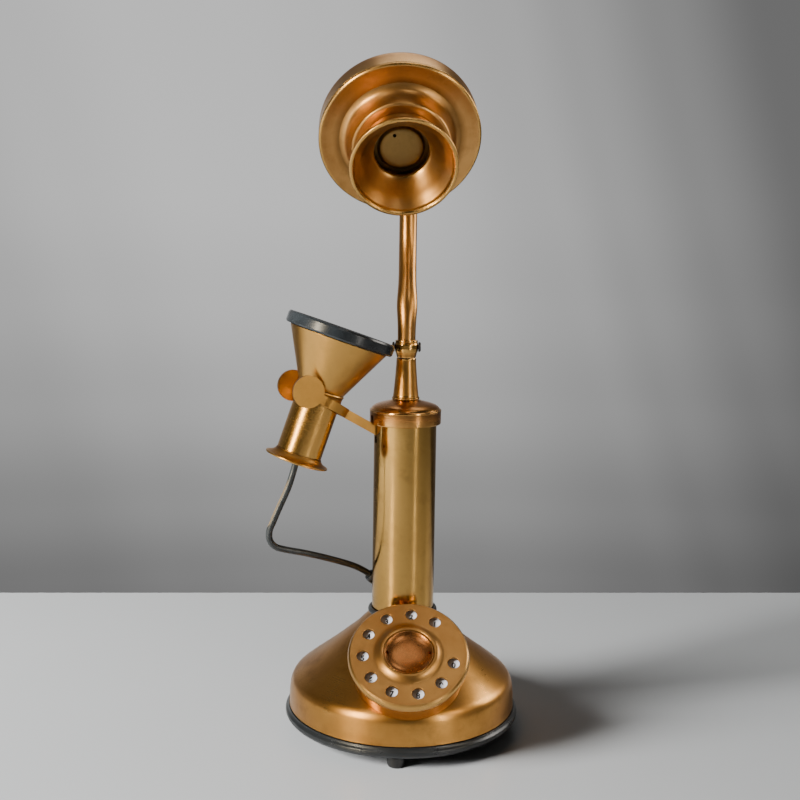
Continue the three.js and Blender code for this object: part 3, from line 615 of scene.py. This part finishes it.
def make_base():
    bead = [(65.7, 10.3), (66.7, 10.3), (67.1, 10.5), (67.15, 11.0)]
    lip = [(19.4, 65.0, 0.2), (17.4, 65.0, 0.2), (17.4, 63.6)]
    shell = lathe("base_shell_fine", bead + DOME + lip + inset(DOME, SHELL_WALL))
    stud_hole = moved(rod_mesh("hole", 4.3, -40, 0), STAND.inverted() @ DIAL)
    shell = combined(shell, [stud_hole], "DIFFERENCE")
    piece("base_shell_fine", shell, STAND, brass_body, "stand", ["base_shell"])

    ring = [
        (60.5, 3.8, 0.3), (66.3, 3.8, 0.6), (68.4, 4.4, 0.9), (69.5, 6.1, 1.2), (69.3, 7.8, 0.9),
        (68.3, 8.8, 0.6), (67.9, 9.4, 0.25), (67.7, 10.0, 0.3), (60.5, 10.0, 0.3),
    ]
    piece("base_ring_fine", lathe("base_ring_fine", ring), STAND, rubber, "stand",
          ["base_ring"])

    foot = [(0, TABLE), (4.3, TABLE, 0.5), (4.8, -1.2, 0.6), (5.0, 3.5, 0.2), (0, 3.5)]
    for i, name in enumerate(["foot_front", "foot_right", "foot_back", "foot_left"]):
        angle = math.radians(FOOT_TURN + 90 * i)
        at = place((FOOT_CIRCLE_R * math.cos(angle), FOOT_CIRCLE_R * math.sin(angle), 0))
        piece(name + "_fine", lathe(name, foot, SMALL), at, foot_rubber, "stand", [name])


# ------------------------------------------------------------------ column
def hook_slot(low, high):
    """A tool that cuts the upright slot which the hook comes out of."""
    outline = [(12, -1.7), (28, -1.7), (28, 1.7), (12, 1.7)]
    return slab("slot", outline, low, high, Matrix.Rotation(math.radians(HOOK_YAW), 4, "Z"))


def make_column():
    gasket = [
        (18.6, COLUMN_BOTTOM, 0.1), (20.0, COLUMN_BOTTOM, 0.7), (20.6, 66.9, 1.0), (20.0, 68.5, 0.7),
        (18.6, 68.5, 0.1),
    ]
    piece("column_gasket_fine", lathe("gasket", gasket), STAND, rubber, "stand",
          ["column_gasket"])

    tube = [
        (COLUMN_BORE_R, COLUMN_BOTTOM, 0.1), (COLUMN_R, COLUMN_BOTTOM, 0.1),
        (COLUMN_R, COLUMN_TOP, 0.1), (COLUMN_BORE_R, COLUMN_TOP, 0.1),
    ]
    hole = moved(rod_mesh("hole", 3.4, -12, 8), STAND.inverted() @ FERRULE)
    tube = combined(lathe("column", tube), [hook_slot(168, 186.5), hole], "DIFFERENCE")
    piece("column_tube_fine", tube, STAND, brass_column, "stand", ["column_tube"])

    cap = [
        (18.75, 179.0, 0.1), (20.5, 179.0, 0.2), (20.8, 179.5, 0.2), (20.8, 186.1, 0.25),
        (21.0, 186.5, 0.2), (20.9, 187.2, 0.25), (20.3, 187.5, 0.12), (20.0, 187.9, 0.12),
        (19.2, 188.9), (17.6, 189.9), (15.2, 190.8), (12.4, 191.5), (10.0, 192.1), (8.6, 192.7, 0.2),
        (7.8, 193.0, 0.1), (4.8, 193.0, 0.1), (4.8, 191.2), (10, 189.9), (15.5, 187.8), (18.75, 185.9),
    ]
    cap = combined(lathe("cap", cap), [hook_slot(178, 184.4)], "DIFFERENCE")
    piece("column_cap_fine", cap, STAND, brass_cap, "stand", ["column_cap"])

    neck = [
        (0, 184.5), (4.2, 184.5, 0.3), (4.2, 193.3, 0.1), (8.0, 193.3, 0.25), (8.1, 194.1, 0.3),
        (7.55, 194.6, 0.15), (7.45, 195.3, 0.12), (7.3, 196.2), (6.9, 200.0), (6.5, 204.5), (6.15, 209.0),
        (5.85, 213.0), (5.7, 216.0), (5.75, 216.7, 0.1), (5.6, 217.3, 0.2), (0, 217.3),
    ]
    piece("neck_fine", lathe("neck", neck, 96), STAND, brass_body, "stand", ["neck"])

    collar = [
        (0, 217.6), (5.5, 217.6, 0.15), (5.7, 218.5, 0.15), (6.1, 220.1), (6.6, 221.2, 0.5),
        (6.85, 222.6, 0.6), (6.85, 225.0, 0.8), (6.45, 226.1, 0.2), (6.35, 226.5, 0.1), (6.6, 226.8, 0.15),
        (6.5, 227.5, 0.2), (5.5, 227.5, 0.15), (5.5, 220.0), (0, 220.0),
    ]
    across = Matrix.Translation((0, 0, COLLAR_SCREWS_AT * MM)) @ QUARTER_Y
    screw_hole = moved(rod_mesh("hole", 1.5, -9, 9, 24), across)
    collar = combined(lathe("collar", collar, 96), [screw_hole], "DIFFERENCE")
    piece("arm_collar_fine", collar, STAND, brass_body, "stand", ["arm_collar"])
    make_collar_screws()
    make_ferrule()


def make_collar_screws():

    screw = [
        (0, 5.6), (1.2, 5.6), (1.2, 6.9), (2.8, 6.9, 0.15), (2.9, 7.8, 0.4), (2.3, 8.3, 0.4), (0, 8.3),
    ]
    for name, turn in (("collar_screw_right", 0), ("collar_screw_left", 180)):
        at = place((0, 0, COLLAR_SCREWS_AT), ("Z", turn), ("Y", 90))
        head = combined(lathe(name, screw, SMALL), [cross_slot(4, 0.3, 7.7, 10)], "DIFFERENCE")
        piece(name + "_fine", head, at, dark_steel, "stand", [name])


def make_ferrule():
    """The cord's gland, cut to the column's round face."""
    ferrule = [
        (CORD_BORE_R, -5.2, 0.3), (3.3, -5.2, 0.5), (3.9, -3.6, 0.5), (3.7, 0.2), (3.1, 0.4),
        (3.1, 2.4), (CORD_BORE_R, 2.4),
    ]
    clearance = rod_mesh("clearance", COLUMN_R + 0.3, 60, 100, ROUND)
    mesh = moved(lathe("ferrule", ferrule, SMALL), STAND.inverted() @ FERRULE)
    mesh = combined(mesh, [clearance], "DIFFERENCE")
    piece("cord_ferrule_fine", mesh, STAND, rubber, "stand", ["cord_ferrule"])


# ------------------------------------------------------------------ hook
def arc_points(r, start, end, steps, at):
    """Points along an arc whose centre is at that far along X."""
    return [(at + r * math.cos(math.radians(start + (end - start) * k / steps)),
             r * math.sin(math.radians(start + (end - start) * k / steps))) for k in range(steps + 1)]


def make_hook():
    """A strip on edge that forks round the receiver and ends in two round paddles."""
    half, tall = STRIP_WIDTH / 2, STRIP_HEIGHT / 2
    outer, inner = FORK_R + half, FORK_R - half
    root = FORK_AT - math.sqrt(outer ** 2 - half ** 2)
    spread = math.degrees(math.asin(half / outer))
    outline = [(-9, half), (-9, -half), (root, -half)]
    outline += arc_points(outer, 180 + spread, 270, 24, FORK_AT)[1:]
    outline += [(FORK_AT + 3, -outer), (FORK_AT + 3, -inner)]
    outline += arc_points(inner, 270, 90, 48, FORK_AT)
    outline += [(FORK_AT + 3, inner), (FORK_AT + 3, outer)]
    outline += arc_points(outer, 90, 180 - spread, 24, FORK_AT)[:-1]
    outline += [(root, half)]
    lever = slab("hook", outline, -tall, tall)
    parts = []
    for side in (-1, 1):
        reach = math.degrees(math.asin(tall / PRONG_DISC_R))
        paddle = [(FORK_AT, tall), (FORK_AT, -tall)]
        paddle += arc_points(PRONG_DISC_R, 180 + reach, 540 - reach, 48, PRONG_END)
        low = -side * FORK_R - half
        parts.append(slab("paddle", paddle, low, low + STRIP_WIDTH, QUARTER_X))
    parts.append(moved(rod_mesh("boss", 4, -2.6, 2.6), QUARTER_X))
    lever = combined(lever, parts, "UNION")
    lever = combined(lever, [moved(rod_mesh("hole", 1.8, -9, 9), QUARTER_X)], "DIFFERENCE")
    rounded(piece("hook_lever_fine", lever, HOOK, brass_strip, "hook", ["hook_lever"]), 0.35)


# ------------------------------------------------------------------ arm
def make_arm():
    line = [(p + SHIFT) * MM for p in catmull(ROD_ROUTE, 8)]
    radii = []
    for p in line:
        swell = math.exp(-((p.z / MM - SWELL_AT) / SWELL_REACH) ** 2)
        radii.append(((ROD_R + SWELL_WIDER * swell) * MM, (ROD_R - SWELL_FLATTER * swell) * MM))
    rod = swept("arm_rod", line, radii, 48)
    across = place(TILT_PIVOT) @ QUARTER_Y
    square = [(-9, -10), (9, -10), (9, 6), (-9, 6)]
    flats = [slab("flat", square, low, high, across) for low, high in ((EYE_HALF, 12), (-12, -EYE_HALF))]
    rod = combined(rod, flats, "DIFFERENCE")
    rod = combined(rod, [moved(rod_mesh("eye", ROD_R, -EYE_HALF, EYE_HALF), across)], "UNION")
    rod = combined(rod, [moved(rod_mesh("hole", 1.9, -9, 9), across)], "DIFFERENCE")
    rounded(piece("arm_rod_fine", rod, Matrix.Identity(4), brass_rod, "arm", ["arm_rod"]), 0.25)


# ------------------------------------------------------------------ transmitter
def make_transmitter():
    back = smooth_line([
        (40.6, -16.6), (41.8, -16.4), (42.8, -15.8), (43.5, -14.8), (43.95, -13.3), (44.15, -11.0),
    ])
    shell = [(0, -16.6), (30, -16.6)] + back + [
        (44.3, -2.3, 0.1), (43.0, -2.3, 0.1), (42.8, -13.5), (42.2, -14.7), (40.6, -15.3), (0, -15.3),
    ]
    piece("transmitter_shell_fine", lathe("shell", shell), DRUM, brass_head, "transmitter",
          ["transmitter_shell"])

    face = [
        (43.6, -1.9, 0.1), (44.4, -1.9, 0.2), (44.4, -0.6, 0.7), (43.6, 0.25, 0.6), (42.6, 0.2),
        (41.6, -0.1), (39.5, -0.5), (37.0, -0.85), (33.2, -1.0, 0.5), (31.0, -0.1), (29.7, 1.4),
        (28.6, 3.6), (27.8, 6.2), (27.2, 8.6), (26.9, 9.4), (26.4, 9.95), (25.4, 10.2), (16.2, 10.2),
        (16.2, 9.1), (24.6, 9.1), (25.8, 8.0), (26.7, 4.6), (28.4, 0.6), (30.4, -1.5), (33.0, -2.1),
        (37.0, -1.95), (42.0, -1.4),
    ]
    piece("transmitter_face_fine", lathe("face", face), DRUM, brass_head, "transmitter",
          ["transmitter_face"])
    make_mouthpiece()
    make_tilt_screw()


def make_mouthpiece():
    horn = smooth_line([
        (21.3, 13.4), (21.6, 15.8), (22.7, 19.0), (24.3, 22.2), (25.9, 25.2), (27.2, 27.2),
    ], 4)
    bowl = smooth_line([
        (26.1, 28.0), (24.6, 25.9), (22.4, 22.7), (20.2, 19.0), (17.8, 15.5), (16.1, 13.4),
    ], 4)
    funnel = [
        (14.9, 10.5, 0.1), (21.9, 10.5), (21.9, 11.4), (21.5, 12.2),
    ] + horn + [
        (28.1, 27.8, 0.5), (29.0, 28.6, 0.7), (28.9, 30.1, 0.8), (27.3, 30.5, 0.8), (26.5, 29.3, 0.6),
    ] + bowl + [(15.1, 12.5, 0.4), (14.9, 11.8, 0.2)]
    piece("mouthpiece_fine", lathe("mouthpiece", funnel), DRUM, brass_head, "transmitter",
          ["mouthpiece"])

    grille = [
        (0, 4.4), (15.6, 4.4), (15.6, 6.8), (13.4, 7.0), (12.6, 7.5), (12.1, 8.4),
        (11.2, 9.3), (9.0, 9.8), (5.0, 10.1), (0, 10.2),
    ]
    pin_hole = moved(rod_mesh("hole", 1.0, 3, 12, 20), Matrix.Translation((-4.2 * MM, 8 * MM, 0)))
    grille = combined(lathe("grille", grille, 72), [pin_hole], "DIFFERENCE")
    piece("mouth_grille_fine", grille, DRUM, brass_grille, "transmitter",
          ["mouth_grille"])


def make_tilt_screw():
    """The screw that the transmitter tilts on, through the CAD lug, which stays with rounded edges."""
    rounded(adopt("head_lug", brass_head), 0.4)
    screw = [
        (0, -7.6), (1.5, -7.6, 0.2), (1.5, 5.4), (3.2, 5.4, 0.15), (3.2, 6.8, 0.3), (2.5, 7.5, 0.3),
        (0, 7.5),
    ]
    head = combined(lathe("screw", screw, SMALL), [cross_slot(4, 0.35, 6.8, 9)], "DIFFERENCE")
    piece("tilt_screw_fine", head, HEAD @ QUARTER_Y, dark_steel, "transmitter",
          ["tilt_screw"])


# ------------------------------------------------------------------ receiver
def make_receiver():
    top = RECEIVER_LENGTH
    cone_top = top - 7
    flange = [
        (4.6, 0, 0.1), (18.0, 0, 0.2), (18.3, 0.4, 0.2), (18.2, 1.0, 0.2), (16.4, 1.5), (15.0, 2.2),
        (13.9, 3.2), (13.2, 4.4, 0.1), (13.1, 4.8), (11, 4.8), (11, 2), (4.6, 2, 0.1),
    ]
    piece("receiver_flange_fine", lathe("flange", flange), RECEIVER, brass_horn, "receiver",
          ["receiver_flange"])
    barrel = [
        (BARREL_BORE_R, 5.1, 0.1), (BARREL_R, 5.1, 0.1), (BARREL_R, 36.7, 0.15),
        (BARREL_BORE_R, 36.7, 0.1),
    ]
    piece("receiver_barrel_fine", lathe("barrel", barrel), RECEIVER, brass_body, "receiver",
          ["receiver_barrel"])
    neck = [
        (BARREL_BORE_R, 37.0), (13.4, 37.0, 0.1), (13.9, 37.4, 0.3), (13.4, 38.1, 0.15), (13.2, 39.8),
        (13.4, 41.3, 0.15), (13.85, 41.9, 0.3), (13.5, 42.6, 0.15),
        (BARREL_BORE_R, 42.6),
    ]
    piece("receiver_neck_fine", lathe("neck", neck), RECEIVER, brass_horn, "receiver",
          ["receiver_neck"])
    cone = [(12.2, 42.9, 0.1), (13.3, 42.9, 0.2), (28.5, cone_top, 0.2), (27.3, cone_top, 0.1)]
    piece("receiver_cone_fine", lathe("cone", cone), RECEIVER, brass_horn, "receiver",
          ["receiver_cone"])
    cap = [
        (28.9, cone_top + 0.3, 0.1), (30.9, cone_top + 0.3, 0.3), (31.6, cone_top + 1.2, 0.5),
        (31.6, top - 1.2, 0.5), (30.9, top, 0.5), (29.2, top, 0.4), (28.4, top - 0.35, 0.2),
        (24, top - 1.2), (18, top - 2.5), (11, top - 3.5), (5.6, top - 3.8, 0.3), (5.0, top - 4.4, 0.3),
        (5, top - 5.2), (12, top - 4.9), (20, top - 4.2), (27.4, top - 3.2), (28.9, top - 4),
    ]
    piece("ear_cap_fine", lathe("ear_cap", cap), RECEIVER, horn_black, "receiver",
          ["ear_cap"])
    bush = [
        (CORD_BORE_R, -1.6, 0.2), (2.9, -1.6, 0.4), (3.5, -0.3), (4.2, 0.4), (4.2, 3.0),
        (CORD_BORE_R, 3.0),
    ]
    piece("cord_bush_fine", lathe("bush", bush, SMALL), RECEIVER, rubber, "receiver",
          ["cord_bush"])


# ------------------------------------------------------------------ dial
def on_circle(r, degrees, z=0.0):
    """A shift to a place on a circle about Z."""
    return Matrix.Translation((r * MM * math.cos(math.radians(degrees)),
                               r * MM * math.sin(math.radians(degrees)), z * MM))


def make_digit(i, digit):
    """A printed digit on the number plate, upright as the dial is seen from the front."""
    font = bpy.data.curves.new("digit", "FONT")
    font.body = digit
    font.size = DIGIT_SIZE * MM
    font.align_x, font.align_y = "CENTER", "CENTER"
    font.extrude = DIGIT_THICK * MM
    font.offset = DIGIT_BOLD * MM
    holder = bpy.data.objects.new("digit", font)
    bpy.context.scene.collection.objects.link(holder)
    bpy.context.view_layer.update()
    mesh = evaluated_mesh(holder)
    bpy.data.objects.remove(holder)
    bpy.data.curves.remove(font)
    at = DIAL @ on_circle(HOLE_CIRCLE_R, FIRST_HOLE + HOLE_STEP * i, PLATE_TOP + DIGIT_LIFT)
    at = at @ Matrix.Translation((0, DIGIT_DROP * MM, 0))
    piece("digit_" + digit, mesh, at, ink, "stand")


def make_wheel():
    crest = smooth_line([
        (21.0, 0.0), (19.2, 0.15), (17.4, 0.9), (16.0, 1.75), (15.0, 2.05), (14.3, 1.85), (14.0, 1.2),
    ])
    wheel = [
        (2.7, -2.6), (14.8, -2.6), (15.6, -1.2), (31.0, -1.2), (32.2, -2.2), (32.5, -4.6, 0.1),
        (33.6, -4.6, 0.25), (33.8, -3.9, 0.2), (33.8, -2.3, 0.7), (33.2, -0.7, 0.7), (32.3, 0.2),
        (31.5, 0.25), (30.7, 0.0),
    ] + crest + [(14.0, -1.6), (2.7, -1.6)]
    flare = [
        (0, -9), (HOLE_R, -9), (HOLE_R, -0.45), (HOLE_R + 0.12, -0.15), (HOLE_R + 0.45, 0.15),
        (HOLE_R + 1.2, 0.9), (0, 0.9),
    ]
    holes = []
    for i in range(len(DIGITS)):
        holes.append(moved(lathe("hole", flare, 48), on_circle(HOLE_CIRCLE_R, FIRST_HOLE + HOLE_STEP * i)))
    mesh = combined(lathe("wheel", wheel, 160), holes, "DIFFERENCE")
    piece("finger_wheel_fine", mesh, DIAL, brass_wheel, "wheel", ["finger_wheel"])

    bowl = smooth_line([
        (13.3, 1.25), (12.4, 0.75), (11.0, 0.15), (8.8, -0.4), (6.0, -0.75), (3.0, -0.88), (0, -0.92),
    ], 4)
    dish = [(0, -1.5), (13.75, -1.5), (13.75, 1.3, 0.15)] + bowl
    pins = [moved(rod_mesh("pin", 0.95, -1.4, 4, 16), on_circle(11.8, side)) for side in (0, 180)]
    dish = combined(lathe("dish", dish, 96), pins, "DIFFERENCE")
    piece("dial_centre_fine", dish, DIAL, brass_dish, "wheel", ["dial_centre_cap"])


def make_dial():
    make_wheel()
    cup = [
        (4.9, -14.0), (29.0, -14.0), (28.8, -26), (30.0, -26), (31.0, -17.0), (31.6, -13.0), (32.3, -9.0),
        (33.0, -5.0, 0.2), (31.8, -5.0, 0.1), (30.4, -12.8), (4.9, -12.8),
    ]
    grown = [(r + 0.25, z + 0.3) for r, z in DOME[10:]]
    dome = [(0, 12), (67.3, 12), (67.3, 22.8)] + grown + [(21.3, 66), (21.3, 80), (0, 80)]
    cup_mesh = moved(lathe("cup", cup), STAND.inverted() @ DIAL)
    cup_mesh = combined(cup_mesh, [lathe("dome", dome)], "DIFFERENCE")
    piece("dial_cup_fine", cup_mesh, STAND, brass_body, "stand", ["dial_cup"])

    plate = [
        (8, -4.9, 0.1), (31, -4.9, 0.1), (31, PLATE_TOP, 0.15), (16.4, PLATE_TOP, 0.1), (16.1, -4.2),
        (8, -4.2),
    ]
    piece("number_plate_fine", lathe("plate", plate), DIAL, enamel, "stand", ["number_plate"])
    for i, digit in enumerate(DIGITS):
        make_digit(i, digit)


# ------------------------------------------------------------------ carried-over nodes
def adopt(name, look):
    """A CAD node that stays, in a better material."""
    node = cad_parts[name]
    node.data.materials.clear()
    node.data.materials.append(look)
    return node


def adopt_inner():
    """The hidden pieces keep their CAD shapes."""
    looks = {
        dark_steel: ["base_plate", "hook_pivot_pin", "tilt_nut", "receiver_magnet", "dial_return_spring"],
        steel: ["base_screw_1", "base_screw_2", "base_screw_3", "column_nut", "neck_nut", "hook_bracket",
                "hook_spring", "transmitter_diaphragm", "receiver_diaphragm", "dial_frame", "dial_shaft",
                "governor_pinion", "dial_stud", "dial_nut"],
        iron: ["ballast_ring"],
        bakelite: ["terminal_block", "pulse_contacts"],
        copper: ["induction_coil", "receiver_coil", "switch_contacts"],
        brass_grille: ["dial_drive_gear"],
        carbon: ["carbon_capsule"],
    }
    for look, names in looks.items():
        for name in names:
            adopt(name, look)


# ------------------------------------------------------------------ studio
TABLE_BACK = 250.0  # the table's back edge, behind the stand's axis
TABLE_SKEW = 0.048  # how much farther back that edge lies for each millimetre to the right
TABLE_REACH = 2500.0


def table_material():
    g = Graph("table")
    cloud = g.noise(3, 3, 0.5)
    g.feed(g.shader.inputs["Base Color"], g.mix(cloud, rgb(0.50, 0.51, 0.51), rgb(0.56, 0.57, 0.57)))
    g.feed(g.shader.inputs["Roughness"], g.spread(cloud, 0.3, 0.7, 0.34, 0.42))
    return g.material


def make_table():
    bm = bmesh.new()
    back = [(x, TABLE_BACK + TABLE_SKEW * x) for x in (TABLE_REACH, -TABLE_REACH)]
    corners = [(-TABLE_REACH, -TABLE_REACH), (TABLE_REACH, -TABLE_REACH), *back]
    bm.faces.new([bm.verts.new(((x + SHIFT.x) * MM, (y + SHIFT.y) * MM, 0)) for x, y in corners])
    mesh = mesh_of(bm, "table")
    table = bpy.data.objects.new("table", mesh)
    mesh.materials.append(table_material())
    bpy.context.scene.collection.objects.link(table)


WALL_STRENGTH = 1.09
WALL_SLANT = 0.3  # how far its light leans to the right towards the table
FRONT_DIM = 0.08  # share of its light that is left in front of the object
# (place along the range, grey) for directions from low to high, then from left to right.
WALL_HEIGHT_RANGE = (-0.32, 0.8)
WALL_HEIGHT = [
    (0.0, 0.19), (0.036, 0.225), (0.09, 0.31), (0.17, 0.455), (0.25, 0.565), (0.33, 0.635),
    (0.47, 0.62), (0.55, 0.45), (0.73, 0.22), (1.0, 0.20),
]
WALL_ACROSS_RANGE = (-0.8, 0.8)
WALL_ACROSS = [
    (0.0, 0.30), (0.28, 0.77), (0.33, 0.90), (0.39, 1.0), (0.44, 0.99), (0.5, 0.93), (0.59, 0.68),
    (0.624, 0.55), (0.67, 0.385), (0.72, 0.23), (1.0, 0.12),
]


def make_world():
    """A grey studio wall that is lighter high on the left, and dim in front of the object."""
    world = bpy.data.worlds.new("studio")
    bpy.context.scene.world = world
    world.use_nodes = True
    tree = world.node_tree
    link = tree.links.new

    def node(kind, **settings):
        made = tree.nodes.new(kind)
        for key, value in settings.items():
            setattr(made, key, value)
        return made

    apart = node("ShaderNodeSeparateXYZ")
    link(node("ShaderNodeTexCoord").outputs["Generated"], apart.inputs[0])

    def ramp(source, low, high, stops):
        spread = node("ShaderNodeMapRange")
        link(source, spread.inputs[0])
        spread.inputs[1].default_value = low
        spread.inputs[2].default_value = high
        colours = node("ShaderNodeValToRGB")
        colours.color_ramp.interpolation = "EASE"
        elements = colours.color_ramp.elements
        for element, (position, grey) in zip(elements, (stops[0], stops[-1])):
            element.position = position
            element.color = rgb(grey, grey, grey)
        for position, grey in stops[1:-1]:
            elements.new(position).color = rgb(grey, grey, grey)
        link(spread.outputs[0], colours.inputs[0])
        return colours.outputs[0]

    def times(a, b):
        product = node("ShaderNodeMix", data_type="RGBA", blend_type="MULTIPLY")
        product.inputs[0].default_value = 1.0
        link(a, product.inputs[6])
        link(b, product.inputs[7])
        return product.outputs[2]

    slanted = node("ShaderNodeMath", operation="MULTIPLY_ADD")
    link(apart.outputs[2], slanted.inputs[0])
    slanted.inputs[1].default_value = WALL_SLANT
    link(apart.outputs[0], slanted.inputs[2])
    height = ramp(apart.outputs[2], *WALL_HEIGHT_RANGE, WALL_HEIGHT)
    across = ramp(slanted.outputs[0], *WALL_ACROSS_RANGE, WALL_ACROSS)
    front = ramp(apart.outputs[1], -0.4, 0.5, [(0.0, FRONT_DIM), (1.0, 1.0)])
    background = tree.nodes["Background"]
    link(times(times(height, across), front), background.inputs["Color"])
    background.inputs["Strength"].default_value = WALL_STRENGTH


WHITE, PALE, WARM = (1.0, 1.0, 1.0), (1.0, 0.95, 0.88), (1.0, 0.86, 0.62)  # lamp colours
# Lamps seen in the brass: where and towards what, in metres; width and height; watts; colour.
LOW, HIGH = (0, 0, 0.17), (0, 0, 0.3)
GLINTS = [
    ("glint_key", (-0.93, -0.93, 0.60), LOW, (0.22, 0.62), 20.0, WARM),
    ("strip_right", (0.62, -0.72, 0.32), LOW, (0.09, 0.50), 2.0, PALE),
    ("side_right", (0.95, -0.55, 0.70), LOW, (0.30, 0.35), 1.9, WARM),
    ("high_left", (-0.42, -0.62, 1.12), HIGH, (0.22, 0.22), 0.8, PALE),
    ("high_right", (0.32, -0.70, 1.12), HIGH, (0.22, 0.22), 0.8, PALE),
    ("top", (0.05, -0.05, 1.20), LOW, (0.5, 0.5), 1.2, PALE),
    ("top_back", (0.10, 0.45, 1.00), HIGH, (0.6, 0.3), 1.1, PALE),
    ("back_right", (1.00, 0.30, 0.60), LOW, (0.5, 0.5), 6.0, PALE),
]


def make_light(name, at, aim, size, power, shade, glossy):
    """A soft lamp that shows only in reflections if glossy, and else only as plain light on things."""
    data = bpy.data.lights.new(name, "AREA")
    data.shape = "RECTANGLE"
    data.size, data.size_y = size
    data.energy = power
    data.color = shade
    light = bpy.data.objects.new(name, data)
    bpy.context.scene.collection.objects.link(light)
    light.location = Vector(at)
    light.rotation_euler = (Vector(aim) - Vector(at)).to_track_quat("-Z", "Y").to_euler()
    light.visible_diffuse = not glossy
    light.visible_glossy = glossy


def make_studio():
    """One plain key lamp throws the shadow; the others are the long highlights along the brass."""
    make_table()
    make_world()
    make_light("key", (-1.60, -0.72, 0.85), LOW, (0.64, 0.85), 124.0, WHITE, glossy=False)
    for name, at, aim, size, power, shade in GLINTS:
        make_light(name, at, aim, size, power, shade, glossy=True)


make_base()
make_column()
make_hook()
make_arm()
make_transmitter()
make_receiver()
make_dial()
adopt_inner()
make_studio()
